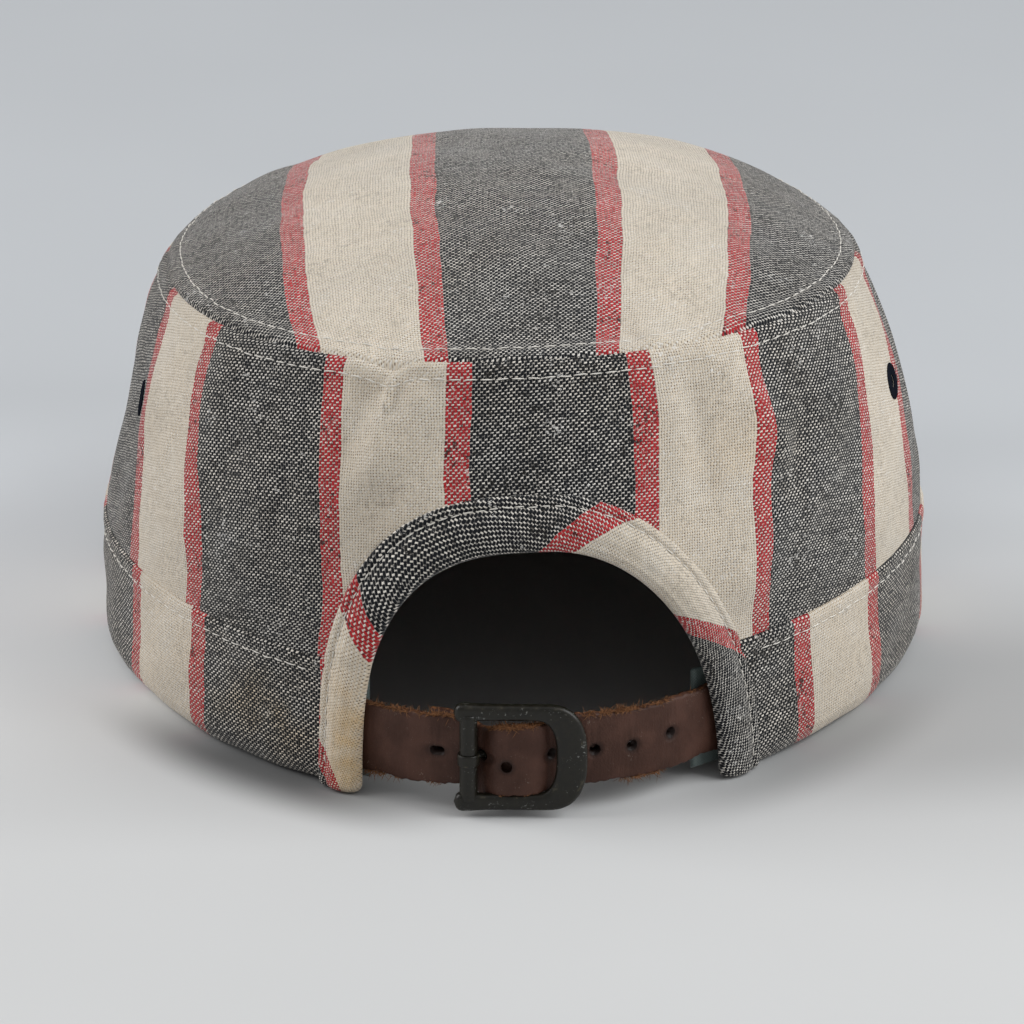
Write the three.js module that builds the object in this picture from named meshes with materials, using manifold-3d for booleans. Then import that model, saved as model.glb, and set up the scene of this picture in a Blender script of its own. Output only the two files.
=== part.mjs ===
// A soft cadet cap of striped cloth: domed top, flared wall, band, short peak, and an arched
// opening at the back that a leather strap and a metal buckle close.
// Millimetres, +Z up. The opening faces +Y, the peak faces -Y, and the wearer's left is +X.
import * as THREE from 'three';
import { mergeVertices } from 'three/addons/utils/BufferGeometryUtils.js';
import Module from 'manifold-3d';

const wasm = await Module();
wasm.setup();

// Driving dimensions
const GAP = 0.3;
const CLOTH = 1.2;
const BAND = { height: 26, thickness: 2.0, proud: 0.5, frontLift: 5 };
const SKEW = 0.045;

// Plan sections of the outer face: half-width, reach to back and front, and squareness of each half
const SECTION = {
  rim: { half: 86.6, back: 101.5, front: 101.0, squareBack: 1.78, squareFront: 2.1 },
  seam: { half: 87.0, back: 100.2, front: 100.0, squareBack: 1.78, squareFront: 2.1 },
  middle: { half: 83.0, back: 97.2, front: 96.5, squareBack: 2.0, squareFront: 2.12 },
  top: { half: 73.0, back: 85.0, front: 84.0, squareBack: 2.15, squareFront: 2.0 },
};
const TOP_SEAM = { height: 85, riseToBack: 0.075, fallToFront: 0.03, turn: 20, riseToLeft: -0.022 };
const SEAM_DIP = { at: 22, width: 3.5, depth: 2.0, fade: 14 };
const DOME = { height: 16.8, power: 2.3 };

// Folds of the wall. Places are degrees from the back centre, positive to the wearer's left, and heights.
const MM_PER_DEGREE = 1.55;
const WALL_FOLDS = [
  { fromDegrees: 18, fromHeight: 84, toDegrees: 24, toHeight: 70, width: 3.6, rise: 1.7 },
  { fromDegrees: 26, fromHeight: 82, toDegrees: 29, toHeight: 72, width: 4.0, rise: -1.2 },
  { fromDegrees: -30, fromHeight: 84, toDegrees: -36, toHeight: 70, width: 5.5, rise: 1.4 },
  { fromDegrees: -36, fromHeight: 68, toDegrees: -31, toHeight: 42, width: 6.5, rise: 1.0 },
  { fromDegrees: -22, fromHeight: 82, toDegrees: -24, toHeight: 64, width: 3.6, rise: -1.0 },
  { fromDegrees: 53, fromHeight: 80, toDegrees: 57, toHeight: 46, width: 7.0, rise: 1.2 },
  { fromDegrees: 82, fromHeight: 56, toDegrees: 104, toHeight: 52, width: 12.0, rise: -2.4 },
  { fromDegrees: 150, fromHeight: 70, toDegrees: 146, toHeight: 50, width: 9.0, rise: -1.4 },
  { fromDegrees: -150, fromHeight: 66, toDegrees: -145, toHeight: 48, width: 9.0, rise: -1.4 },
];
// Folds of the top, placed by plan X and Y
const TOP_FOLDS = [
  { fromX: -18, fromY: 76, toX: -19, toY: 70, width: 5.0, rise: -1.3 },
  { fromX: -29, fromY: 40, toX: -38, toY: 66, width: 6.0, rise: 1.1 },
  { fromX: 22, fromY: -30, toX: 34, toY: -52, width: 9.0, rise: -1.0 },
];
const FOLD_FADE = 5;

// Arched opening: inner and outer edge of its binding, with its own half-width and squareness each side
const ARCH = {
  inner: { height: 55.5, left: 37.0, right: 36.5, squareLeft: 2.8, squareRight: 2.05 },
  outer: { height: 66.0, left: 44.8, right: 44.5, squareLeft: 2.8, squareRight: 2.0 },
};
// Binding section from the open edge to the wall: share of its width, outer and inner face
const BINDING_SECTION = [
  { share: 0, outside: 0.1, inside: -0.9 },
  { share: 0.18, outside: 1.1, inside: -1.5 },
  { share: 0.5, outside: 1.4, inside: -1.5 },
  { share: 0.82, outside: 1.2, inside: -1.5 },
  { share: 1, outside: 0.6, inside: -1.3 },
];

const SWEATBAND = {
  thickness: 1.0, bottom: 2.0, top: 23.5, endLeft: 37.5, endRight: 33.0, easeDegrees: 16, strapRoom: 0.8,
};
const PEAK = { halfSpan: 60, reach: 56, thickness: 3.0, rootRise: 2.1, edgeRise: -1.5, camber: 2.0 };
const PEAK_OUTLINE = { power: 2.0, fullness: 0.72, radialShare: 0.2, cornerReach: 1.6 };

const STRAP = { width: 15, thickness: 1.8, centre: 13 };
// Strap runs: plan X, distance of the leather's middle from the line of the rim, and height of its middle
const TAB_RUN = [
  { x: 43, off: -2.75, z: 11.6 },
  { x: 36, off: -2.75, z: 11.9 },
  { x: 29, off: -1.2, z: 12.3 },
  { x: 22, off: -0.2, z: 12.8 },
  { x: 16.2, off: -0.1, z: 13.2 },
];
const PUNCHED_RUN = [
  { x: -43, off: -2.75, z: 13 },
  { x: -36, off: -2.75, z: 13 },
  { x: -28, off: -1.2, z: 13 },
  { x: -20, off: -0.1, z: 13 },
  { x: -9, off: -0.3, z: 13.1 },
  { x: -2.2, off: -0.6, z: 13.2 },
  { x: 1.6, off: -0.2, z: 13.2 },
  { x: 3.9, off: 1.6, z: 13.2 },
  { x: 7.0, off: 2.6, z: 13.2 },
  { x: 10.1, off: 1.1, z: 13.2 },
  { x: 12.2, off: -0.7, z: 13.2 },
  { x: 14.2, off: -2.1, z: 13.1 },
  { x: 17.5, off: -2.5, z: 13 },
  { x: 24, off: -2.6, z: 13 },
];
const HOLE_DIAMETER = 2.1;
const CUT_DEPTH = 6;
const PUNCHED_HOLES = [
  { x: -25.2, z: 13.3 },
  { x: -17.2, z: 12.6 },
  { x: -9.6, z: 12.8 },
  { x: -0.4, z: 13.0 },
  { x: 8.2, z: 11.2 },
];
const TAB_HOLE = { x: 21.6, z: 12.6, diameter: 1.9, length: 3.2 };
const PRONG_SLOT = { x: 12.1, z: 12.8, width: 2.5, length: 3.6 };

const BUCKLE = {
  x: 4.8, z: 13.2, width: 26.2, height: 22.2, thickness: 2.4, stand: 2.0,
  toe: 7.8, arm: 3.2, toeRadius: 6.5, windowRadius: 3.0, earRadius: 1.5, bevel: 0.5,
  bevelSteps: 2, cornerSteps: 6, cutDepth: 9.6,
};
const BAR = { radius: 1.6, inset: 2.3, sides: 14 };
const KNUCKLE = { radius: 2.35, length: 3.6, notchHeight: 4.8, notchDepth: 9.4 };
const TONGUE = { radius: 0.7, sides: 8, steps: 10 };
// Tongue of the prong: distance along the frame from its middle, and depth from the frame's middle plane
const TONGUE_RUN = [
  { along: 9.2, depth: -1.5 },
  { along: 7.4, depth: -2.7 },
  { along: 5.4, depth: -3.9 },
  { along: -0.6, depth: -4.3 },
];

const EYELET = { outer: 7.8, hole: 3.4, thickness: 0.9, sides: 18 };
const EYELETS = [
  { name: 'eyelet_left', degrees: 77, height: 60 },
  { name: 'eyelet_right', degrees: -75, height: 65 },
];

// Mesh steps
const NOTCH_COLUMNS = 26;
const WALL_COLUMNS = 54;
const WALL_ROWS = 8;
const TOP_COLUMNS = 64;
const TOP_RINGS = [1, 0.94, 0.86, 0.75, 0.61, 0.45, 0.28, 0.12];
const BAND_COLUMNS = 60;
const BAND_ROWS = 2;
const BINDING_STEPS = 46;
const SWEATBAND_COLUMNS = 56;
const PEAK_COLUMNS = 34;
const PEAK_ROWS = 7;
const STRAP_ROWS = 2;
const PUNCHED_STEPS = 44;
const TAB_STEPS = 14;
const HOLE_SIDES = 12;
const SEARCH_STEPS = 40;
const SEARCH_DEGREES = 85;
const DELTA = 0.02;
const SHARE_DELTA = 0.002;
const MERGE_DISTANCE = 1e-4;

const COLOURS = {
  cloth: 0x8f8c88, band: 0x9a9690, binding: 0x77746f, leather: 0x46302b,
  metal: 0x34352f, thread: 0x1d2028, sweatband: 0x5f7a75,
};

const { lerp, degToRad } = THREE.MathUtils;
const bell = (distance, width) => Math.exp(-((distance / width) ** 2));
const signedPower = (value, power) => Math.sign(value) * Math.abs(value) ** power;
const steps = (count) => Array.from({ length: count + 1 }, (_, i) => i / count);
const wrapDegrees = (degrees) => (degrees > 180 ? degrees - 360 : degrees);

// Plan point of a section at an angle from the back centre, positive to the wearer's left
function planPoint(section, degrees) {
  const across = Math.sin(degToRad(degrees));
  const along = Math.cos(degToRad(degrees));
  const square = along >= 0 ? section.squareBack : section.squareFront;
  const reach = along >= 0 ? section.back : section.front;
  const x = section.half * signedPower(across, 2 / square);
  const y = reach * signedPower(along, 2 / square) + SKEW * x * Math.max(along, 0);
  return { x, y };
}

// Height of the seam between wall and top: rises to the back, falls less to the front, with one small dip
function seamPlane(x, y) {
  const { height, riseToBack, fallToFront, turn, riseToLeft } = TOP_SEAM;
  const bend = Math.hypot(y, turn) - turn;
  return height + (y * (riseToBack + fallToFront) + bend * (riseToBack - fallToFront)) / 2 + riseToLeft * x;
}
const seamDip = (degrees) => SEAM_DIP.depth * bell(degrees - SEAM_DIP.at, SEAM_DIP.width);
function seamHeight(degrees) {
  const { x, y } = planPoint(SECTION.top, degrees);
  return seamPlane(x, y) - seamDip(degrees);
}

// Lift of the rim over the root of the peak, greatest at the front centre
function rimLift(degrees) {
  const fromFront = 180 - Math.abs(degrees);
  const share = Math.min(fromFront / PEAK.halfSpan, 1);
  return BAND.frontLift * Math.cos((Math.PI / 2) * share) ** 2;
}

const bandSeam = (degrees) => BAND.height + rimLift(degrees);

// Smooth outer face from rim to top seam, without folds: straight below the band seam, then a parabola
function skinPoint(degrees, height) {
  const seam = planPoint(SECTION.seam, degrees);
  const level = bandSeam(degrees);
  if (height <= level) {
    const rim = planPoint(SECTION.rim, degrees);
    const share = height / level;
    return new THREE.Vector3(lerp(rim.x, seam.x, share), lerp(rim.y, seam.y, share), height);
  }
  const middle = planPoint(SECTION.middle, degrees);
  const top = planPoint(SECTION.top, degrees);
  const share = (height - level) / (seamHeight(degrees) - level);
  const low = 2 * (share - 0.5) * (share - 1);
  const mid = 4 * share * (1 - share);
  const high = 2 * share * (share - 0.5);
  return new THREE.Vector3(
    low * seam.x + mid * middle.x + high * top.x,
    low * seam.y + mid * middle.y + high * top.y,
    height,
  );
}

function skinNormal(degrees, height) {
  const around = skinPoint(degrees + DELTA, height).sub(skinPoint(degrees - DELTA, height));
  const up = skinPoint(degrees, height + DELTA).sub(skinPoint(degrees, height - DELTA));
  return up.cross(around).normalize();
}

// Distance from a point to a short straight line, for folds
function lineDistance(px, py, ax, ay, bx, by) {
  const line = new THREE.Line3(new THREE.Vector3(ax, ay, 0), new THREE.Vector3(bx, by, 0));
  const point = new THREE.Vector3(px, py, 0);
  return line.closestPointToPoint(point, true, new THREE.Vector3()).distanceTo(point);
}

function wallRelief(degrees, height) {
  const edge = THREE.MathUtils.smoothstep(seamHeight(degrees) - height, 0, FOLD_FADE)
    * THREE.MathUtils.smoothstep(height - bandSeam(degrees), 0, FOLD_FADE);
  const total = WALL_FOLDS.reduce((sum, fold) => sum + fold.rise * bell(lineDistance(
    degrees * MM_PER_DEGREE, height,
    fold.fromDegrees * MM_PER_DEGREE, fold.fromHeight,
    fold.toDegrees * MM_PER_DEGREE, fold.toHeight,
  ), fold.width), 0);
  return edge * total;
}

// Point of the wall or band, moved out along the normal, folds included
function clothPoint(degrees, height, offset) {
  const out = wallRelief(degrees, height) + offset;
  return skinPoint(degrees, height).addScaledVector(skinNormal(degrees, height), out);
}

// Top panel: plan scaled toward the middle, domed above the seam plane
function topPoint(degrees, share) {
  const { x, y } = planPoint(SECTION.top, degrees);
  const dip = seamDip(degrees) * share ** SEAM_DIP.fade;
  const folds = TOP_FOLDS.reduce((sum, fold) => sum + fold.rise * bell(lineDistance(
    share * x, share * y, fold.fromX, fold.fromY, fold.toX, fold.toY,
  ), fold.width), 0);
  const rise = DOME.height * (1 - share ** DOME.power) + folds * (1 - share ** SEAM_DIP.fade);
  return new THREE.Vector3(share * x, share * y, seamPlane(share * x, share * y) - dip + rise);
}

function topNormal(degrees, share) {
  const around = topPoint(degrees + DELTA, share).sub(topPoint(degrees - DELTA, share));
  const inward = topPoint(degrees, share - SHARE_DELTA).sub(topPoint(degrees, share + SHARE_DELTA));
  return inward.cross(around).normalize();
}

// Direction that halves the angle between wall and top at their seam, as long as the mitre needs
function seamMitre(degrees) {
  const wall = skinNormal(degrees, seamHeight(degrees) - DELTA);
  const top = topNormal(degrees, 1 - SHARE_DELTA);
  const half = wall.clone().add(top).normalize();
  return half.multiplyScalar(1 / half.dot(wall));
}

// Angle from the back centre at which the skin has a given plan X at a height
function degreesAt(x, height) {
  let low = -SEARCH_DEGREES;
  let high = SEARCH_DEGREES;
  for (let i = 0; i < SEARCH_STEPS; i += 1) {
    const middle = (low + high) / 2;
    if (skinPoint(middle, height).x < x) low = middle;
    else high = middle;
  }
  return (low + high) / 2;
}

// Point of an arch edge at a turn from 0, the wearer's right foot, over the crest at 1, to 2
function archPoint(edge, turn, grow = 0) {
  const right = turn <= 1;
  const square = right ? edge.squareRight : edge.squareLeft;
  const half = (right ? edge.right : edge.left) + grow;
  const angle = (Math.PI / 2) * (right ? turn : 2 - turn) ** (square / 2);
  const x = half * Math.max(Math.cos(angle), 0) ** (2 / square);
  return { x: right ? -x : x, z: (edge.height + grow) * Math.sin(angle) ** (2 / square) };
}

// Plan X of the outer arch edge at a height, on one side
function archX(height, side, grow) {
  const square = side > 0 ? ARCH.outer.squareLeft : ARCH.outer.squareRight;
  const half = (side > 0 ? ARCH.outer.left : ARCH.outer.right) + grow;
  return side * half * (1 - (height / (ARCH.outer.height + grow)) ** square) ** (1 / square);
}

// Lower edge of the wall: the band seam, or the arch where the column passes over the opening
function wallFoot(degrees) {
  let low = bandSeam(degrees) + GAP;
  if (Math.abs(degrees) > 90) return low;
  let high = ARCH.outer.height + GAP;
  const inside = (height) => {
    const { x } = skinPoint(degrees, height);
    return Math.abs(x) < Math.abs(archX(Math.min(height, high), Math.sign(x) || 1, GAP));
  };
  if (!inside(low)) return low;
  for (let i = 0; i < SEARCH_STEPS; i += 1) {
    const middle = (low + high) / 2;
    if (inside(middle)) low = middle;
    else high = middle;
  }
  return high;
}

// Closed wall between two grids of points with equal rows and columns
function shell(outer, inner, wrap = false) {
  const rows = outer.length;
  const columns = outer[0].length;
  const positions = [...outer.flat(), ...inner.flat()].flatMap((point) => point.toArray());
  const at = (side, row, column) => side * rows * columns + row * columns + (column % columns);
  const index = [];
  const quad = (a, b, c, d) => index.push(a, b, c, a, c, d);
  const spans = wrap ? columns : columns - 1;
  for (let c = 0; c < spans; c += 1) {
    for (let r = 0; r < rows - 1; r += 1) {
      quad(at(0, r, c), at(0, r + 1, c), at(0, r + 1, c + 1), at(0, r, c + 1));
      quad(at(1, r, c), at(1, r, c + 1), at(1, r + 1, c + 1), at(1, r + 1, c));
    }
    quad(at(0, 0, c), at(0, 0, c + 1), at(1, 0, c + 1), at(1, 0, c));
    const last = rows - 1;
    quad(at(0, last, c), at(1, last, c), at(1, last, c + 1), at(0, last, c + 1));
  }
  if (!wrap) {
    const end = columns - 1;
    for (let r = 0; r < rows - 1; r += 1) {
      quad(at(0, r, 0), at(1, r, 0), at(1, r + 1, 0), at(0, r + 1, 0));
      quad(at(0, r, end), at(0, r + 1, end), at(1, r + 1, end), at(1, r, end));
    }
  }
  return facingOut(positions, index);
}

// Geometry with its triangles turned so that the enclosed volume is positive
function facingOut(positions, index) {
  const point = (i) => new THREE.Vector3().fromArray(positions, 3 * i);
  let volume = 0;
  for (let i = 0; i < index.length; i += 3) {
    volume += point(index[i]).dot(point(index[i + 1]).cross(point(index[i + 2])));
  }
  const geometry = new THREE.BufferGeometry();
  geometry.setAttribute('position', new THREE.Float32BufferAttribute(positions, 3));
  geometry.setIndex(volume > 0 ? index : index.reverse());
  return geometry;
}

function withoutExtras(geometry) {
  geometry.deleteAttribute('normal');
  geometry.deleteAttribute('uv');
  return geometry;
}

function toSolid(geometry) {
  const merged = mergeVertices(withoutExtras(geometry.clone()), MERGE_DISTANCE);
  return new wasm.Manifold(new wasm.Mesh({
    numProp: 3,
    vertProperties: Float32Array.from(merged.attributes.position.array),
    triVerts: Uint32Array.from(merged.index.array),
  }));
}

function toGeometry(solid) {
  const mesh = solid.getMesh();
  const geometry = new THREE.BufferGeometry();
  geometry.setAttribute('position', new THREE.Float32BufferAttribute(mesh.vertProperties, 3));
  geometry.setIndex(Array.from(mesh.triVerts));
  return geometry;
}

// Frame of axes whose Z points along a normal and whose Y stays as upright as it can
function facingMatrix(origin, normal) {
  const side = new THREE.Vector3(0, 0, 1).cross(normal).normalize();
  const up = normal.clone().cross(side);
  return new THREE.Matrix4().makeBasis(side, up, normal).setPosition(origin);
}

// Round or slotted hole cutter through a sheet, along the sheet's normal
function holeCutter(origin, normal, diameter, length, depth) {
  const shape = new THREE.Shape();
  const radius = diameter / 2;
  const half = Math.max(length - diameter, 0) / 2;
  shape.absarc(half, 0, radius, -Math.PI / 2, Math.PI / 2);
  shape.absarc(-half, 0, radius, Math.PI / 2, 1.5 * Math.PI);
  const settings = { depth, bevelEnabled: false, curveSegments: HOLE_SIDES / 2 };
  const cutter = new THREE.ExtrudeGeometry(shape, settings).translate(0, 0, -depth / 2);
  return toSolid(cutter.applyMatrix4(facingMatrix(origin, normal)));
}

// Crown pieces
function buildWall() {
  const foot = BAND.height + GAP;
  const corner = {
    left: degreesAt(archX(foot, 1, GAP), foot),
    right: degreesAt(archX(foot, -1, GAP), foot),
  };
  const notch = steps(NOTCH_COLUMNS).map((share) => lerp(corner.right, corner.left, share));
  const round = steps(WALL_COLUMNS).slice(1, -1)
    .map((share) => lerp(corner.left, corner.right + 360, share));
  const columns = [...notch, ...round].map(wrapDegrees);
  const rows = steps(WALL_ROWS);
  const grid = (offset) => rows.map((share) => columns.map((degrees) => {
    const top = seamHeight(degrees) - GAP / 2;
    const point = clothPoint(degrees, lerp(wallFoot(degrees), top, share), share < 1 ? offset : 0);
    return share < 1 ? point : point.addScaledVector(seamMitre(degrees), offset);
  }));
  const holes = EYELETS.map(({ degrees, height }) => {
    const seat = eyeletSeat(degrees, height);
    return holeCutter(seat.point, seat.normal, EYELET.hole, 0, CUT_DEPTH);
  });
  const solid = toSolid(shell(grid(0), grid(-CLOTH), true));
  return toGeometry(holes.reduce((whole, hole) => whole.subtract(hole), solid));
}

function buildTop() {
  const columns = steps(TOP_COLUMNS).slice(0, -1).map((share) => lerp(-180, 180, share));
  const edge = 1 - GAP / 2 / SECTION.top.half;
  const ring = (share, offset) => columns.map((degrees) => {
    if (share === 1) return topPoint(degrees, edge).addScaledVector(seamMitre(degrees), offset);
    return topPoint(degrees, share).addScaledVector(topNormal(degrees, share), offset);
  });
  const grids = [0, -CLOTH].map((offset) => TOP_RINGS.map((share) => ring(share, offset)));
  const rows = TOP_RINGS.length;
  const positions = grids.flat(2).flatMap((point) => point.toArray());
  const middle = topPoint(0, 0);
  positions.push(...middle.toArray(), middle.x, middle.y, middle.z - CLOTH);
  const at = (side, row, column) => (side * rows + row) * TOP_COLUMNS + (column % TOP_COLUMNS);
  const index = [];
  const quad = (a, b, c, d) => index.push(a, b, c, a, c, d);
  const poles = [2 * rows * TOP_COLUMNS, 2 * rows * TOP_COLUMNS + 1];
  for (let c = 0; c < TOP_COLUMNS; c += 1) {
    for (let r = 0; r < rows - 1; r += 1) {
      quad(at(0, r, c), at(0, r + 1, c), at(0, r + 1, c + 1), at(0, r, c + 1));
      quad(at(1, r, c), at(1, r, c + 1), at(1, r + 1, c + 1), at(1, r + 1, c));
    }
    quad(at(0, 0, c), at(0, 0, c + 1), at(1, 0, c + 1), at(1, 0, c));
    index.push(at(0, rows - 1, c), poles[0], at(0, rows - 1, c + 1));
    index.push(at(1, rows - 1, c), at(1, rows - 1, c + 1), poles[1]);
  }
  return facingOut(positions, index);
}

function buildHeadband() {
  const grid = (offset) => steps(BAND_ROWS).map((level) => steps(BAND_COLUMNS).map((share) => {
    const height = BAND.height * level;
    const left = degreesAt(archX(height, 1, GAP), height);
    const right = degreesAt(archX(height, -1, GAP), height) + 360;
    const degrees = wrapDegrees(lerp(left, right, share));
    const lifted = lerp(rimLift(degrees), bandSeam(degrees) - GAP / 2, level);
    return skinPoint(degrees, lifted).addScaledVector(flatNormal(degrees), offset);
  }));
  return shell(grid(BAND.proud), grid(BAND.proud - BAND.thickness));
}

// Normal of the band, held level so that its rim stays flat
function flatNormal(degrees) {
  const normal = skinNormal(degrees, BAND.height / 2);
  return normal.setZ(0).normalize();
}

function bandPoint(x, height, offset) {
  const degrees = degreesAt(x, height);
  const normal = height < BAND.height ? flatNormal(degrees) : skinNormal(degrees, height);
  return skinPoint(degrees, height).addScaledVector(normal, offset);
}

function buildBinding() {
  const grid = (face) => BINDING_SECTION.map((row) => steps(BINDING_STEPS).map((share) => {
    const inner = archPoint(ARCH.inner, 2 * share);
    const outer = archPoint(ARCH.outer, 2 * share);
    return bandPoint(lerp(inner.x, outer.x, row.share), lerp(inner.z, outer.z, row.share), row[face]);
  }));
  return shell(grid('outside'), grid('inside'));
}

function buildSweatband() {
  const shallow = BAND.proud - BAND.thickness - GAP;
  const deep = shallow - STRAP.thickness - SWEATBAND.strapRoom;
  const left = degreesAt(SWEATBAND.endLeft, STRAP.centre);
  const right = degreesAt(-SWEATBAND.endRight, STRAP.centre) + 360;
  const grid = (offset) => [0, 1].map((level) => steps(SWEATBAND_COLUMNS).map((share) => {
    const along = lerp(left, right, share);
    const fromEnd = Math.min(along - left, right - along);
    const ease = THREE.MathUtils.smoothstep(fromEnd, SWEATBAND.easeDegrees / 2, SWEATBAND.easeDegrees);
    const degrees = wrapDegrees(along);
    const height = lerp(SWEATBAND.bottom, SWEATBAND.top, level) + rimLift(degrees);
    const depth = lerp(deep, shallow, ease) + offset;
    return skinPoint(degrees, height).addScaledVector(flatNormal(degrees), depth);
  }));
  return shell(grid(0), grid(-SWEATBAND.thickness));
}

// Peak: rows run from the band outward, columns across the front
function buildPeak() {
  const grid = (offset) => steps(PEAK_ROWS).map((row) => steps(PEAK_COLUMNS).map((share) => {
    const across = 2 * share - 1;
    const degrees = wrapDegrees(180 + across * PEAK.halfSpan);
    const normal = flatNormal(degrees);
    const height = rimLift(degrees) + PEAK.rootRise;
    const root = skinPoint(degrees, height).addScaledVector(normal, BAND.proud + GAP);
    const ahead = new THREE.Vector3(0, -1, 0).lerp(normal, PEAK_OUTLINE.radialShare).normalize();
    const round = (1 - Math.abs(across) ** PEAK_OUTLINE.power) ** PEAK_OUTLINE.fullness;
    const reach = lerp(PEAK_OUTLINE.cornerReach, PEAK.reach, round);
    const rise = row * PEAK.edgeRise * (1 - across ** 2) + PEAK.camber * Math.sin(Math.PI * row) * round;
    root.addScaledVector(ahead, reach * row);
    return root.setZ(height + rise + offset);
  }));
  return shell(grid(PEAK.thickness / 2), grid(-PEAK.thickness / 2));
}

// Smooth strap line through a table of stations, in plan
function strapCurve(run) {
  const points = run.map(({ x, off, z }) => {
    const degrees = degreesAt(x, STRAP.centre);
    const point = skinPoint(degrees, STRAP.centre).addScaledVector(flatNormal(degrees), off);
    return point.setZ(z);
  });
  return new THREE.CatmullRomCurve3(points, false, 'centripetal');
}

// Level normal of a strap line that points to the outside of the cap
function strapNormal(curve, share) {
  const tangent = curve.getTangentAt(share).setZ(0).normalize();
  const normal = new THREE.Vector3(0, 0, 1).cross(tangent);
  return normal.y < 0 ? normal.negate() : normal;
}

function strapShare(curve, x) {
  let low = 0;
  let high = 1;
  const rising = curve.getPointAt(1).x > curve.getPointAt(0).x;
  for (let i = 0; i < SEARCH_STEPS; i += 1) {
    const middle = (low + high) / 2;
    if ((curve.getPointAt(middle).x < x) === rising) low = middle;
    else high = middle;
  }
  return (low + high) / 2;
}

function buildStrap(run, count, holes) {
  const curve = strapCurve(run);
  const grid = (offset) => steps(STRAP_ROWS).map((level) => steps(count).map((share) => {
    const point = curve.getPointAt(share).addScaledVector(strapNormal(curve, share), offset);
    return point.setZ(point.z + STRAP.width * (level - 0.5));
  }));
  const solid = toSolid(shell(grid(STRAP.thickness / 2), grid(-STRAP.thickness / 2)));
  const cutters = holes.map(({ x, z, diameter, length }) => {
    const share = strapShare(curve, x);
    const origin = curve.getPointAt(share).setZ(z);
    return holeCutter(origin, strapNormal(curve, share), diameter, length, CUT_DEPTH);
  });
  return cutters.reduce((whole, cutter) => whole.subtract(cutter), solid);
}

function buildPunchedStrap() {
  const round = PUNCHED_HOLES.map((hole) => ({ ...hole, diameter: HOLE_DIAMETER, length: 0 }));
  const slot = { ...PRONG_SLOT, diameter: PRONG_SLOT.width };
  return toGeometry(buildStrap(PUNCHED_RUN, PUNCHED_STEPS, [...round, slot]));
}

// The tab is notched at its end, where the knuckle of the prong turns on the bar
function buildTab() {
  const notch = new THREE.BoxGeometry(KNUCKLE.notchDepth, KNUCKLE.notchHeight, KNUCKLE.notchDepth);
  notch.applyMatrix4(buckleMatrix().multiply(new THREE.Matrix4().makeTranslation(barAlong(), 0, 0)));
  return toGeometry(buildStrap(TAB_RUN, TAB_STEPS, [TAB_HOLE]).subtract(toSolid(notch)));
}

// Buckle axes: X along the strap to the wearer's right, Y up, Z out of the cap
function buckleMatrix() {
  const degrees = degreesAt(BUCKLE.x, BUCKLE.z);
  const normal = flatNormal(degrees);
  const origin = skinPoint(degrees, BUCKLE.z).addScaledVector(normal, BUCKLE.stand);
  return facingMatrix(origin, normal);
}

function barAlong() {
  return -(BUCKLE.width / 2 - BAR.inset);
}

function roundedOutline(path, left, right, half, leftRadius, rightRadius) {
  path.moveTo(left + leftRadius, -half);
  path.lineTo(right - rightRadius, -half);
  path.absarc(right - rightRadius, -half + rightRadius, rightRadius, -Math.PI / 2, 0);
  path.lineTo(right, half - rightRadius);
  path.absarc(right - rightRadius, half - rightRadius, rightRadius, 0, Math.PI / 2);
  path.lineTo(left + leftRadius, half);
  path.absarc(left + leftRadius, half - leftRadius, leftRadius, Math.PI / 2, Math.PI);
  path.lineTo(left, -half + leftRadius);
  path.absarc(left + leftRadius, -half + leftRadius, leftRadius, Math.PI, 1.5 * Math.PI);
  return path;
}

// D frame: two arms that end in rounded ears and a broad rounded toe, with a round bar between the ears
function buildBuckle() {
  const { width, height, thickness, toe, arm, bevel, cutDepth } = BUCKLE;
  const left = -width / 2 + bevel;
  const right = width / 2 - bevel;
  const half = height / 2 - bevel;
  const windowHalf = height / 2 - arm + bevel;
  const outline = roundedOutline(new THREE.Shape(), left, right, half, BUCKLE.earRadius, BUCKLE.toeRadius);
  const settings = {
    depth: thickness - 2 * bevel, bevelEnabled: true, bevelThickness: bevel, bevelSize: bevel,
    bevelSegments: BUCKLE.bevelSteps, curveSegments: BUCKLE.cornerSteps,
  };
  const plate = new THREE.ExtrudeGeometry(outline, settings).translate(0, 0, -thickness / 2 + bevel);
  const opening = roundedOutline(new THREE.Shape(), -width, right - toe + bevel, windowHalf - bevel,
    BUCKLE.earRadius, BUCKLE.windowRadius);
  const deep = { depth: cutDepth, bevelEnabled: false, curveSegments: BUCKLE.cornerSteps };
  const window = new THREE.ExtrudeGeometry(opening, deep).translate(0, 0, -cutDepth / 2);
  const bar = new THREE.CylinderGeometry(BAR.radius, BAR.radius, height - arm, BAR.sides);
  bar.translate(barAlong(), 0, 0);
  return toGeometry(toSolid(plate).subtract(toSolid(window)).add(toSolid(bar)));
}

function buildProng() {
  const outer = new THREE.CylinderGeometry(KNUCKLE.radius, KNUCKLE.radius, KNUCKLE.length, BAR.sides);
  const bore = new THREE.CylinderGeometry(BAR.radius + GAP, BAR.radius + GAP, 2 * KNUCKLE.length, BAR.sides);
  const points = TONGUE_RUN.map(({ along, depth }) => new THREE.Vector3(-along, 0, depth));
  const circle = new THREE.Shape().absarc(0, 0, TONGUE.radius, 0, 2 * Math.PI);
  const tongue = new THREE.ExtrudeGeometry(circle, {
    steps: TONGUE.steps, curveSegments: TONGUE.sides, bevelEnabled: false,
    extrudePath: new THREE.CatmullRomCurve3(points),
  });
  const place = [outer, bore].map((geometry) => toSolid(geometry.translate(barAlong(), 0, 0)));
  return toGeometry(place[0].add(toSolid(tongue)).subtract(place[1]));
}

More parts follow.
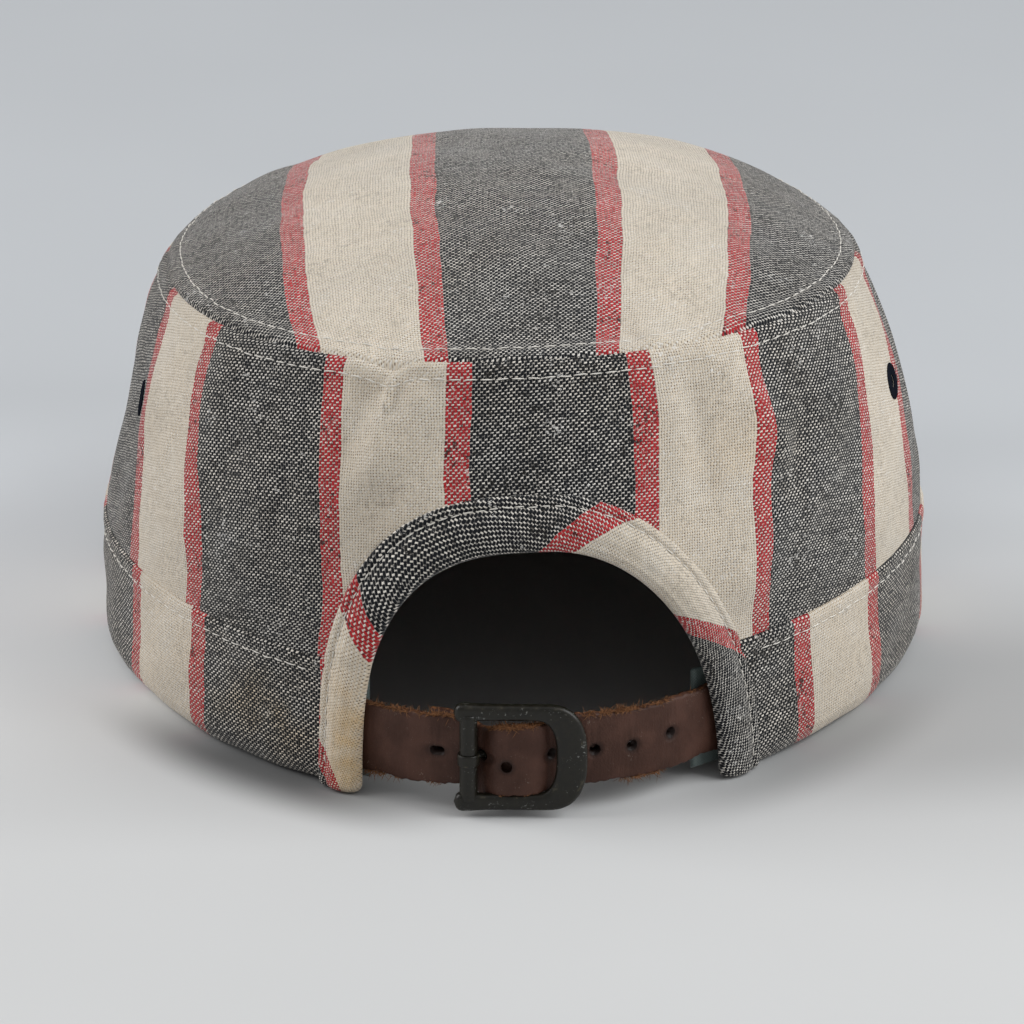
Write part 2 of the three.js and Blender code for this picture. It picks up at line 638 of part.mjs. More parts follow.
// Middle and normal of the plane through four points of the folded wall under the eyelet's rim
function eyeletSeat(degrees, height) {
  const reach = EYELET.outer / 2;
  const turn = reach / MM_PER_DEGREE;
  const [left, right] = [turn, -turn].map((side) => clothPoint(degrees + side, height, GAP));
  const [upper, lower] = [reach, -reach].map((rise) => clothPoint(degrees, height + rise, GAP));
  const normal = upper.clone().sub(lower).cross(left.clone().sub(right)).normalize();
  const point = clothPoint(degrees, height, GAP);
  const proud = Math.max(...[left, right, upper, lower].map((rim) => rim.sub(point).dot(normal)), 0);
  return { point: point.addScaledVector(normal, proud), normal };
}

function buildEyelet({ degrees, height }) {
  const { outer, hole, thickness, sides } = EYELET;
  const profile = [
    new THREE.Vector2(hole / 2, 0), new THREE.Vector2(outer / 2, 0),
    new THREE.Vector2(outer / 2 - thickness / 2, thickness), new THREE.Vector2(hole / 2, thickness),
    new THREE.Vector2(hole / 2, 0),
  ];
  const ring = mergeVertices(withoutExtras(new THREE.LatheGeometry(profile, sides)), MERGE_DISTANCE);
  ring.rotateX(Math.PI / 2);
  const seat = eyeletSeat(degrees, height);
  ring.applyMatrix4(facingMatrix(seat.point, seat.normal));
  return facingOut(Array.from(ring.attributes.position.array), Array.from(ring.index.array));
}

// Assembly
function finish(color, roughness, metalness = 0) {
  return new THREE.MeshStandardMaterial({ color, roughness, metalness });
}

const FINISH = {
  cloth: finish(COLOURS.cloth, 0.95),
  band: finish(COLOURS.band, 0.95),
  binding: finish(COLOURS.binding, 0.95),
  leather: finish(COLOURS.leather, 0.6),
  metal: finish(COLOURS.metal, 0.45, 1),
  thread: finish(COLOURS.thread, 0.8),
  sweatband: finish(COLOURS.sweatband, 0.85),
};

const cap = new THREE.Group();
function place(name, geometry, material, parent = cap) {
  const mesh = new THREE.Mesh(geometry, material);
  mesh.name = name;
  parent.add(mesh);
}

place('crown_wall', buildWall(), FINISH.cloth);
place('crown_top', buildTop(), FINISH.cloth);
place('headband', buildHeadband(), FINISH.band);
place('opening_binding', buildBinding(), FINISH.binding);
place('sweatband', buildSweatband(), FINISH.sweatband);
place('peak', buildPeak(), FINISH.cloth);
place('buckle_tab', buildTab(), FINISH.leather);
place('punched_strap', buildPunchedStrap(), FINISH.leather);
EYELETS.forEach((eyelet) => place(eyelet.name, buildEyelet(eyelet), FINISH.thread));

const buckle = new THREE.Group();
buckle.applyMatrix4(buckleMatrix());
place('buckle_frame', buildBuckle(), FINISH.metal, buckle);
place('buckle_prong', buildProng(), FINISH.metal, buckle);
cap.add(buckle);

// The origin is the middle of the whole cap's box, on the surface that it rests on
const box = new THREE.Box3().setFromObject(cap, true);
const middle = box.getCenter(new THREE.Vector3());
const group = new THREE.Group();
cap.position.set(-middle.x, -middle.y, -box.min.z);
group.add(cap);

export default group;
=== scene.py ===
"""Dresses a soft cadet cap: striped woven crown, band, binding and peak, leather strap and metal buckle.

Sizes are millimetres on the crown's own axes, and become metres in the row frame when a mesh is written.
Angles are degrees from the back centre, positive to the wearer's left. The opening faces +Y.
"""

from __future__ import annotations

import logging
import math
from dataclasses import dataclass, field
from enum import Enum
from functools import cached_property

import bmesh
import bpy
import numpy as np
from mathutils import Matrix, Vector

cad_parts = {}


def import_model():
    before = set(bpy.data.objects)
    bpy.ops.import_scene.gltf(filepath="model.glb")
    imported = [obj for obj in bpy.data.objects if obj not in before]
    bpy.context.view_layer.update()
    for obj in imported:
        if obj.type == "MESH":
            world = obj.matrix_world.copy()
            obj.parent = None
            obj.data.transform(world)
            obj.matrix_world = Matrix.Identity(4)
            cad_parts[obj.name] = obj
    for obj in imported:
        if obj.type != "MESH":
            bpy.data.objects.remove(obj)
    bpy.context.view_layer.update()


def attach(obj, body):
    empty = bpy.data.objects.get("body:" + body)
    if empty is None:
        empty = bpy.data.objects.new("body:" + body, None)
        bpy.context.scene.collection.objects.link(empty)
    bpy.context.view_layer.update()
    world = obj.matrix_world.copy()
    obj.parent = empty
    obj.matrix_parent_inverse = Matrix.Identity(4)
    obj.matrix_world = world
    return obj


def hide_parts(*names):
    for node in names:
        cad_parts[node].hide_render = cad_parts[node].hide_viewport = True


Array = np.ndarray
Span = tuple[float, float]
Numbers = tuple[float, ...]
Colour = tuple[float, float, float, float]
Piece = bpy.types.Object
Material = bpy.types.Material
Node = bpy.types.Node
Tree = bpy.types.NodeTree
Socket = bpy.types.NodeSocket

LOG = logging.getLogger("cadet_cap")
BODY = "root"

# Metres in a millimetre, the crown's axis in the row frame, and the cloth's thickness and usual girth
METRES = 0.001
CROWN_AXIS = np.array([0.030, 26.342, 0.0])
UP = np.array([0.0, 0.0, 1.0])
CLOTH = 1.2
MM_PER_DEGREE = 1.55

# Steps of central differences, the welding distance, and factors that make one number of a place
DELTA = 0.02
SHARE_DELTA = 0.002
WELD = 2e-7
KEY_FACTORS = (1, 2_000_003, 4_000_012_000_009)

# Range that the noise of a yarn's tone usually has, and the seed of the stitches' wander
TONE_SPAN = (0.2, 0.8)
SEED = 7


class Slot(Enum):
    """Material slots of the record."""

    CLOTH = "striped_cloth"
    SWEATBAND = "sweatband_cloth"
    LEATHER = "strap_leather"
    METAL = "buckle_metal"
    EYELET = "eyelet_thread"


# Helpers on whole arrays


def unit(vectors: Array) -> Array:
    """Vectors scaled to length one along their last axis."""
    return vectors / np.maximum(np.linalg.norm(vectors, axis=-1, keepdims=True), 1e-12)


def bell(distance: Array, width: float) -> Array:
    """Bell curve exp(-(distance / width) squared)."""
    return np.exp(-((distance / width) ** 2))


def smoothstep(value: Array, low: float, high: float) -> Array:
    """Smooth rise from 0 at low to 1 at high."""
    share = np.clip((value - low) / (high - low), 0.0, 1.0)
    return share * share * (3.0 - 2.0 * share)


def signed_power(value: Array, power: Array | float) -> Array:
    """Power of a value's size with the value's sign."""
    return np.sign(value) * np.abs(value) ** power


def wrap_degrees(degrees: Array) -> Array:
    """Angles brought into the range from -180 to 180."""
    return (degrees + 180.0) % 360.0 - 180.0


def waves(place: Array, lengths: Numbers, phase: float = 0.0) -> Array:
    """Mean of sines of the given wavelengths, each started at its own phase."""
    total = [np.sin(2 * np.pi * place / length + phase + 2.4 * i) for i, length in enumerate(lengths)]
    return np.mean(total, axis=0)


def eased_table(places: Numbers, values: Numbers, at: Array) -> Array:
    """Values read from a short table, eased between its rows by a smooth step.

    Args:
        places: Rising places.
        values: Value at each.
        at: Where to read.

    Returns:
        Values read.
    """
    table = np.asarray(places)
    row = np.clip(np.searchsorted(table, at) - 1, 0, len(places) - 2)
    share = smoothstep((at - table[row]) / (table[row + 1] - table[row]), 0.0, 1.0)
    heights = np.asarray(values)
    return heights[row] + (heights[row + 1] - heights[row]) * share


def read_table(table: Array, row: Array, column: Array) -> Array:
    """Table read at fractional rows and columns, in straight lines between its entries.

    Args:
        table: Entries, (n, m).
        row: Rows.
        column: Columns.

    Returns:
        Values read.
    """
    r = np.clip(np.floor(row).astype(int), 0, table.shape[0] - 2)
    c = np.clip(np.floor(column).astype(int), 0, table.shape[1] - 2)
    down, along = row - r, column - c
    upper = table[r, c] * (1 - along) + table[r, c + 1] * along
    lower = table[r + 1, c] * (1 - along) + table[r + 1, c + 1] * along
    return upper * (1 - down) + lower * down


def path_lengths(points: Array) -> Array:
    """Running length along a line of points, starting at zero."""
    return np.concatenate([[0.0], np.cumsum(np.linalg.norm(np.diff(points, axis=0), axis=1))])


def ring_angles(count: int) -> Array:
    """Angles of evenly spaced points round a circle, as a column."""
    return np.linspace(0.0, 2 * np.pi, count, endpoint=False)[:, None]


def read_rows(places: Array, values: Array, at: Array) -> Array:
    """Rows of values, one for each rising place, read between the places in straight lines."""
    return np.stack([np.interp(at, places, column) for column in values.T], axis=-1)


def at_plan_x(line: Array, values: Array, x: Array | float) -> Array:
    """Rows of values, one for each point of a line, read at a plan X."""
    order = np.argsort(line[:, 0])
    return read_rows(line[order, 0], values[order], x)


def resample(points: Array, values: Array, at: Array) -> Array:
    """Rows of values, one for each point of a line, read at lengths along the line."""
    return read_rows(path_lengths(points), values, at)


@dataclass(frozen=True)
class StripLoop:
    """Closed loop round the section of a thin strip: rows on its outside, on its inside and round each edge.

    The share across the strip runs straight from one edge to the other on the outside, where the side is 1,
    and back on the inside, where it is -1. Half-circles join the two stretches.
    """

    outer: int
    inner: int
    turn: int

    def rows(self, edge: float) -> tuple[Array, Array]:
        """Rows of the loop.

        Args:
            edge: Radius of the edges as a share of the width.

        Returns:
            Share across the strip and side of its thickness for each row.
        """
        angle = np.linspace(0.0, np.pi, self.turn + 2)[1:-1]
        rise = np.linspace(edge, 1 - edge, self.outer)
        fall = np.linspace(1 - edge, edge, self.inner)
        round_edge = edge * np.sin(angle)
        share = np.concatenate([rise, 1 - edge + round_edge, fall, edge - round_edge])
        side = np.concatenate([np.ones(self.outer), np.cos(angle), -np.ones(self.inner), -np.cos(angle)])
        return share, side


def pinch(distance: Array, radius: float) -> Array:
    """Share of full thickness at a distance from a rounded end: the height of a quarter circle."""
    return np.sqrt(np.clip(1.0 - (1.0 - np.clip(distance / radius, 0.0, 1.0)) ** 2, 0.0, 1.0))


# Meshes


@dataclass
class GridMesh:
    """Grid of points written as one mesh, with rows along a profile and columns along a path.

    Attributes:
        points: Millimetres on the crown's axes, (rows, columns, 3).
        uv: Millimetres on the cloth, one row or column more than the points where the grid is closed.
        close_rows: True where the last row joins the first.
        close_columns: True where the last column joins the first.
        marks: Named values for each point, (rows, columns).
    """

    points: Array
    uv: Array
    close_rows: bool = False
    close_columns: bool = False
    marks: dict[str, Array] = field(default_factory=dict)

    def build(self, name: str) -> Piece:
        """Writes the mesh, faces outward, with coincident points welded, and links its object.

        Args:
            name: Piece name.

        Returns:
            The linked object.
        """
        rows, columns = self.points.shape[:2]
        r, c = np.meshgrid(
            np.arange(rows - 1 + self.close_rows), np.arange(columns - 1 + self.close_columns), indexing="ij"
        )
        r_corner = np.stack([r, r, r + 1, r + 1], -1).reshape(-1, 4)
        c_corner = np.stack([c, c + 1, c + 1, c], -1).reshape(-1, 4)
        faces = (r_corner % rows) * columns + c_corner % columns
        loops = self.uv[r_corner, c_corner]
        flat = self.points.reshape(-1, 3)
        return write_mesh(name, flat, faces, loops, {k: v.ravel() for k, v in self.marks.items()})


def write_mesh(name: str, points: Array, faces: Array, uv: Array, marks: dict[str, Array]) -> Piece:
    """Writes four-sided faces as a smooth mesh object in the row frame.

    Coincident points are welded, which closes poles and pinched ends.

    Args:
        name: Piece name.
        points: Millimetres on the crown's axes, (n, 3).
        faces: Point numbers of each face, (m, 4).
        uv: Cloth coordinates of each face corner, (m, 4, 2).
        marks: Named values for each point.

    Returns:
        The linked object.
    """
    places = (points + CROWN_AXIS) * METRES
    a, b, c, d = (places[faces[:, i]] for i in range(4))
    volume = np.sum(a * (np.cross(b, c) + np.cross(c, d)))
    if volume < 0:
        faces, uv = faces[:, ::-1], uv[:, ::-1]
    mesh = bpy.data.meshes.new(name)
    mesh.from_pydata(places.tolist(), [], faces.tolist())
    mesh.uv_layers.new(name="cloth").data.foreach_set("uv", np.ascontiguousarray(uv, np.float32).ravel())
    for key, values in marks.items():
        mesh.attributes.new(key, "FLOAT", "POINT").data.foreach_set("value", values.astype(np.float32))
    sketch = bmesh.new()
    sketch.from_mesh(mesh)
    bmesh.ops.remove_doubles(sketch, verts=sketch.verts, dist=WELD)
    sketch.to_mesh(mesh)
    sketch.free()
    mesh.shade_smooth()
    piece = bpy.data.objects.new(name, mesh)
    bpy.context.scene.collection.objects.link(piece)
    return piece


def write_tubes(name: str, rings: Array) -> Piece:
    """Writes many short tubes as one mesh; the end rings have shrunk to points and close by welding.

    Args:
        name: Piece name.
        rings: Points of every tube, (tubes, rings, sides, 3), in millimetres.

    Returns:
        The linked object.
    """
    count, steps, sides = rings.shape[:3]
    t, r, s = np.meshgrid(np.arange(count), np.arange(steps - 1), np.arange(sides), indexing="ij")
    around = (s + 1) % sides
    start = t * steps * sides
    corners = [(r, s), (r, around), (r + 1, around), (r + 1, s)]
    faces = np.stack([start + row * sides + side for row, side in corners], -1).reshape(-1, 4)
    uv = np.zeros((len(faces), 4, 2))
    return write_mesh(name, rings.reshape(-1, 3), faces, uv, {})


def point_keys(mesh: bpy.types.Mesh) -> Array:
    """Whole number for each point of a mesh, the same for the same place.

    Args:
        mesh: Mesh whose points are read.

    Returns:
        One number for each point.
    """
    places = np.empty(len(mesh.vertices) * 3, np.float32)
    mesh.vertices.foreach_get("co", places)
    return np.round(places.reshape(-1, 3) / WELD).astype(np.int64) @ np.array(KEY_FACTORS)


def cut_out(piece: Piece, cutter: Piece, mark: str = "") -> None:
    """Cuts one closed mesh out of another, and removes the cutter.

    Args:
        piece: Object that keeps the rest.
        cutter: Object whose inside is taken away.
        mark: Name of a mark that is set to one on the points of the cut, if any.
    """
    before = point_keys(piece.data)
    change = piece.modifiers.new("cut", "BOOLEAN")
    change.operation = "DIFFERENCE"
    change.solver = "EXACT"
    change.object = cutter
    graph = bpy.context.evaluated_depsgraph_get()
    rest = bpy.data.meshes.new_from_object(piece.evaluated_get(graph))
    piece.modifiers.clear()
    piece.data = rest
    if mark:
        values = np.empty(len(rest.vertices), np.float32)
        rest.attributes[mark].data.foreach_get("value", values)
        values[~np.isin(point_keys(rest), before)] = 1.0
        rest.attributes[mark].data.foreach_set("value", values)
    bpy.data.objects.remove(cutter)


def sweep(line: Array, normals: Array, radius: Array, sides: int) -> Array:
    """Rings of round tubes along lines: centre + radius (cos a side + sin a normal).

    Args:
        line: Centre lines, (..., rings, 3).
        normals: Directions that stay upright on the tube, in the shape of line.
        radius: Tube radius at each ring.
        sides: Points on each ring.

    Returns:
        Ring points, (..., rings, sides, 3).
    """
    tangent = unit(np.gradient(line, axis=-2))
    side = unit(np.cross(normals, tangent))
    lift = np.cross(tangent, side)
    angle = ring_angles(sides)
    turned = np.cos(angle) * side[..., None, :] + np.sin(angle) * lift[..., None, :]
    return line[..., None, :] + np.asarray(radius)[..., None, None] * turned


def pin_rings(start: Array, ring: Array, axis: Array, profile: tuple[Span, ...]) -> Array:
    """Rings of a pin: a ring scaled by each size of a profile and carried along an axis by each depth."""
    depth, size = (np.array(column)[:, None, None] for column in zip(*profile))
    return start + ring * size + depth * axis


def closed_rows(uv: Array) -> Array:
    """Grid with its first row repeated at the end."""
    return np.concatenate([uv, uv[:1]], axis=0)


# Form of the crown


@dataclass(frozen=True)
class Section:
    """Plan section: half-width, reach to back and front, squareness of each half, slimming of the right."""

    half: float
    back: float
    front: float
    square_back: float
    square_front: float
    skew: float = 0.045
    slim: float = 0.0

    def plan(self, degrees: Array) -> Array:
        """Superellipse point (half sin^(2/n), reach cos^(2/n)), sheared sideways in its back half.

        Args:
            degrees: Angles from the back centre.

        Returns:
            Plan X and Y.
        """
        across = np.sin(np.radians(degrees))
        along = np.cos(np.radians(degrees))
        behind = along >= 0
        power = 2.0 / np.where(behind, self.square_back, self.square_front)
        reach = np.where(behind, self.back, self.front)
        x = (self.half - self.slim * (across < 0)) * signed_power(across, power)
        y = reach * signed_power(along, power) + self.skew * x * np.maximum(along, 0.0)
        return np.stack([x, y], axis=-1)


@dataclass(frozen=True)
class Fold:
    """Soft ridge or dent along a short line, with a bell-shaped section."""

    start: tuple[float, float]
    end: tuple[float, float]
    width: float
    rise: float

    def relief(self, across: Array, along: Array, stretch: float = 1.0) -> Array:
        """Rise times a bell of the distance to the line, first coordinates being stretched to millimetres.

        Args:
            across: First coordinates.
            along: Second coordinates.
            stretch: Millimetres in a unit of the first.

        Returns:
            Relief in millimetres.
        """
        ax, bx = self.start[0] * stretch, self.end[0] * stretch
        ay, by = self.start[1], self.end[1]
        dx, dy = bx - ax, by - ay
        share = np.clip(((across - ax) * dx + (along - ay) * dy) / (dx * dx + dy * dy), 0.0, 1.0)
        return self.rise * bell(np.hypot(across - ax - share * dx, along - ay - share * dy), self.width)


@dataclass(frozen=True)
class CrownForm:
    """Shape that all the cloth follows: sections from rim to top seam, the dome, and the main folds."""

    rim: Section = Section(86.6, 101.5, 101.0, 1.78, 2.1, slim=-0.9)
    seam: Section = Section(86.2, 100.2, 100.0, 1.78, 2.1, slim=-1.0)
    middle: Section = Section(83.0, 97.2, 96.5, 2.0, 2.12, slim=0.6)
    top: Section = Section(72.6, 85.0, 84.0, 2.15, 2.25, slim=1.0)
    top_height: float = 85.0
    rise_to_back: float = 0.075
    fall_to_front: float = 0.03
    turn: float = 20.0
    rise_to_left: float = -0.022
    dip_at: float = 22.0
    dip_left: float = 4.2
    dip_right: float = 2.1
    dip_depth: float = 2.0
    dip_fade: float = 14.0
    front_dip: float = 4.0
    front_span: Span = (80.0, 115.0)
    dome_height: float = 18.5
    dome_power: float = 2.0
    band_height: float = 26.0
    front_lift: float = 5.0
    lift_span: float = 60.0
    climb_places: Numbers = (-180.0, -150.0, -100.0, -15.0, 20.0, 95.0, 150.0, 180.0)
    climbs: Numbers = (0.0, 0.0, 3.2, 3.2, 1.9, 1.9, 0.0, 0.0)
    arch_degrees: float = 26.0
    fold_fade: float = 5.0
    levels: int = 9
    girth_steps: int = 1440
    search_degrees: float = 85.0
    halvings: int = 40
    wall_folds: tuple[Fold, ...] = (
        Fold((18, 84), (24, 70), 3.6, 1.7),
        Fold((26, 82), (29, 72), 4.0, -1.2),
        Fold((-30, 84), (-36, 70), 5.5, 1.4),
        Fold((-36, 68), (-31, 42), 6.5, 1.0),
        Fold((-22, 82), (-24, 64), 3.6, -1.0),
        Fold((53, 80), (57, 46), 7.0, 1.2),
        Fold((82, 56), (104, 52), 12.0, -2.4),
        Fold((84, 41), (108, 39), 9.0, -1.3),
        Fold((150, 70), (146, 50), 9.0, -1.4),
        Fold((-150, 66), (-145, 48), 9.0, -1.4),
    )
    top_folds: tuple[Fold, ...] = (
        Fold((-18, 76), (-19, 70), 5.0, -1.3),
        Fold((-29, 40), (-38, 66), 6.0, 1.1),
        Fold((22, -30), (34, -52), 9.0, -1.0),
    )

    def seam_plane(self, x: Array, y: Array) -> Array:
        """Height of the top seam: a plane bent at the middle, rising to the back and tilted sideways.

        Args:
            x: Plan X.
            y: Plan Y.

        Returns:
            Heights over the floor.
        """
        bend = np.hypot(y, self.turn) - self.turn
        slope = y * (self.rise_to_back + self.fall_to_front) + bend * (self.rise_to_back - self.fall_to_front)
        return self.top_height + slope / 2 + self.rise_to_left * x

    def seam_dip(self, degrees: Array) -> Array:
        """Small dip of the top seam where a fold crosses it, and its fall over the front half.

        Args:
            degrees: Angles from the back centre.

        Returns:
            Millimetres that the seam is lowered by.
        """
        away = wrap_degrees(degrees) - self.dip_at
        notch = self.dip_depth * bell(away / np.where(away > 0, self.dip_left, self.dip_right), 1.0)
        return notch + self.front_dip * smoothstep(np.abs(wrap_degrees(degrees)), *self.front_span)

    def seam_height(self, degrees: Array) -> Array:
        """Height of the top seam round the crown, with its dips."""
        plan = self.top.plan(degrees)
        return self.seam_plane(plan[..., 0], plan[..., 1]) - self.seam_dip(degrees)

    def rim_lift(self, degrees: Array) -> Array:
        """Lift of the rim over the root of the peak: a squared cosine about the front centre."""
        share = np.minimum((180.0 - np.abs(wrap_degrees(degrees))) / self.lift_span, 1.0)
        return self.front_lift * np.cos(np.pi / 2 * share) ** 2

    def band_seam(self, degrees: Array) -> Array:
        """Height of the seam between band and wall, which is higher on the right and beside the arch."""
        climb = eased_table(self.climb_places, self.climbs, wrap_degrees(degrees))
        return self.band_height + climb + self.rim_lift(degrees)

    def seam_beside_arch(self, side: int) -> float:
        """Height of the band seam where it meets the arch, on the left (1) or the right (-1)."""
        return float(self.band_seam(np.array(side * self.arch_degrees)))

    def skin(self, degrees: Array, height: Array) -> Array:
        """Outer face without folds: straight from rim to band seam, then a parabola of three sections.

        Args:
            degrees: Angles from the back centre.
            height: Heights over the floor.

        Returns:
            Points, in the shape of the input with 3 added.
        """
        degrees, height = np.broadcast_arrays(np.asarray(degrees, float), np.asarray(height, float))
        seam = self.seam.plan(degrees)
        rim = self.rim.plan(degrees)
        level = self.band_seam(degrees)
        below = rim + (seam - rim) * (height / level)[..., None]
        share = ((height - level) / (self.seam_height(degrees) - level))[..., None]
        low = 2 * (share - 0.5) * (share - 1)
        mid = 4 * share * (1 - share)
        high = 2 * share * (share - 0.5)
        above = low * seam + mid * self.middle.plan(degrees) + high * self.top.plan(degrees)
        plan = np.where((height <= level)[..., None], below, above)
        return np.concatenate([plan, height[..., None]], axis=-1)

    def skin_normal(self, degrees: Array, height: Array) -> Array:
        """Outward normal of the skin, from central differences.

        Args:
            degrees: Angles from the back centre.
            height: Heights over the floor.

        Returns:
            Normals of length one.
        """
        around = self.skin(degrees + DELTA, height) - self.skin(degrees - DELTA, height)
        rise = self.skin(degrees, height + DELTA) - self.skin(degrees, height - DELTA)
        return unit(np.cross(rise, around))

    def flat_normal(self, degrees: Array) -> Array:
        """Normal of the band, held level."""
        normal = self.skin_normal(degrees, np.full_like(degrees, self.band_height / 2))
        return unit(normal * np.array([1.0, 1.0, 0.0]))

    def wall_relief(self, degrees: Array, height: Array) -> Array:
        """Sum of the wall's folds, faded out toward both seams.

        Args:
            degrees: Angles from the back centre.
            height: Heights over the floor.

        Returns:
            Relief in millimetres.
        """
        edge = smoothstep(self.seam_height(degrees) - height, 0.0, self.fold_fade)
        edge = edge * smoothstep(height - self.band_seam(degrees), 0.0, self.fold_fade)
        across = wrap_degrees(degrees) * MM_PER_DEGREE
        return edge * sum(fold.relief(across, height, MM_PER_DEGREE) for fold in self.wall_folds)

    def cloth(self, degrees: Array, height: Array, offset: Array | float) -> Array:
        """Point of the folded wall, moved out along the skin's normal."""
        out = self.wall_relief(degrees, height) + offset
        return self.skin(degrees, height) + self.skin_normal(degrees, height) * out[..., None]

    def top_point(self, degrees: Array, share: Array) -> Array:
        """Top panel: the plan scaled by the share, raised by the dome 1 - share^power and by its folds.

        Args:
            degrees: Angles from the back centre.
            share: Shares of the way from middle to seam.

        Returns:
            Points, in the shape of the input with 3 added.
        """
        plan = self.top.plan(degrees) * share[..., None]
        x, y = plan[..., 0], plan[..., 1]
        inside = 1 - np.abs(share) ** self.dip_fade
        folds = sum(fold.relief(x, y) for fold in self.top_folds) * inside
        rise = self.dome_height * (1 - np.abs(share) ** self.dome_power) + folds
        height = self.seam_plane(x, y) - self.seam_dip(degrees) * np.abs(share) ** self.dip_fade + rise
        return np.stack([x, y, height], axis=-1)

    def top_normal(self, degrees: Array, share: Array) -> Array:
        """Outward normal of the top panel, from central differences.

        Args:
            degrees: Angles from the back centre.
            share: Shares of the way from middle to seam.

        Returns:
            Normals of length one.
        """
        share = np.maximum(share, 2 * SHARE_DELTA)
        around = self.top_point(degrees + DELTA, share) - self.top_point(degrees - DELTA, share)
        inward = self.top_point(degrees, share - SHARE_DELTA) - self.top_point(degrees, share + SHARE_DELTA)
        return unit(np.cross(inward, around))

    def degrees_at(self, x: Array, height: Array) -> Array:
        """Angle at which the skin has a plan X at a height, by halving the back half again and again.

        Args:
            x: Plan X.
            height: Heights over the floor.

        Returns:
            Angles from the back centre.
        """
        low = np.full(np.broadcast(x, height).shape, -self.search_degrees)
        high = -low
        for _ in range(self.halvings):
            middle = (low + high) / 2
            left_of = self.skin(middle, height)[..., 0] < x
            low = np.where(left_of, middle, low)
            high = np.where(left_of, high, middle)
        return (low + high) / 2

    def girth(self, degrees: Array, share: Array) -> Array:
        """Length round the wall from the back centre, at a share of the way from band seam to top seam.

        The lengths are measured on a few levels and read between them in straight lines.

        Args:
            degrees: Angles from the back centre.
            share: Shares of the way up the wall.

        Returns:
            Lengths, positive to the left.
        """
        levels, steps = self.levels, self.girth_steps
        fine = np.linspace(-180.0, 180.0, steps + 1)
        low = self.band_seam(fine)
        height = low + np.linspace(0.0, 1.0, levels)[:, None] * (self.seam_height(fine) - low)
        line = self.skin(np.broadcast_to(fine, height.shape), height)
        step = np.linalg.norm(np.diff(line[..., :2], axis=1), axis=-1)
        run = np.concatenate([np.zeros((levels, 1)), np.cumsum(step, axis=1)], axis=1)
        run = run - run[:, steps // 2, None]
        return read_table(run, share * (levels - 1), (degrees + 180.0) / 360.0 * steps)

    def slant(self, degrees: Array, height: Array) -> Array:
        """Length up the wall from the band seam: a parabola through the measured middle and top lengths.

        Args:
            degrees: Angles from the back centre.
            height: Heights over the floor.

        Returns:
            Lengths up the wall.
        """
        shares = np.linspace(0.0, 1.0, self.levels)[:, None]
        columns = degrees.reshape(1, -1)
        level = self.band_seam(columns)
        span = self.seam_height(columns) - level
        line = self.skin(np.broadcast_to(columns, (self.levels, columns.size)), level + shares * span)
        run = np.cumsum(np.linalg.norm(np.diff(line, axis=0), axis=-1), axis=0)
        total = run[-1].reshape(degrees.shape)
        bend = 4 * (0.5 - run[self.levels // 2 - 1].reshape(degrees.shape) / total)
        share = (height - level.reshape(degrees.shape)) / span.reshape(degrees.shape)
        return total * (share + bend * share * (share - 1))


@dataclass(frozen=True)
class ArchEdge:
    """Edge of the arched opening, with its own half-width and squareness on each side."""

    height: float
    left: float
    right: float
    square_left: float
    square_right: float

    def point(self, turn: Array, grow: float = 0.0) -> tuple[Array, Array]:
        """Plan X and height at a turn from 0, the right foot, over the crest at 1, to 2, the left foot.

        Args:
            turn: Turns from 0 to 2.
            grow: Distance by which the edge is moved outward.

        Returns:
            Plan X and height.
        """
        right = turn <= 1
        square = np.where(right, self.square_right, self.square_left)
        half = np.where(right, self.right, self.left) + grow
        angle = np.pi / 2 * np.where(right, turn, 2 - turn) ** (square / 2)
        x = half * np.maximum(np.cos(angle), 0.0) ** (2 / square)
        return np.where(right, -x, x), (self.height + grow) * np.sin(angle) ** (2 / square)

    def x_at(self, height: Array, side: int, grow: float) -> Array:
        """Plan X of the edge at a height, on the left (1) or the right (-1).

        Args:
            height: Heights over the floor.
            side: 1 for the left, -1 for the right.
            grow: Distance by which the edge is moved outward.

        Returns:
            Plan X.
        """
        square = self.square_left if side > 0 else self.square_right
        half = (self.left if side > 0 else self.right) + grow
        return side * half * (1 - (height / (self.height + grow)) ** square) ** (1 / square)

    def turn_at(self, height: float, side: int, grow: float) -> float:
        """Turn at which one side of the edge has a height.

        Args:
            height: Height over the floor.
            side: 1 for the left, -1 for the right.
            grow: Distance by which the edge is moved outward.

        Returns:
            Turn from 0 to 2.
        """
        square = self.square_left if side > 0 else self.square_right
        angle = math.asin((height / (self.height + grow)) ** (square / 2))
        turn = (angle / (math.pi / 2)) ** (2 / square)
        return 2 - turn if side > 0 else turn


FORM = CrownForm()
ARCH_INNER = ArchEdge(55.5, 37.0, 36.5, 2.8, 2.05)
ARCH_OUTER = ArchEdge(66.0, 44.8, 44.5, 2.8, 2.0)


# Node groups and finishes


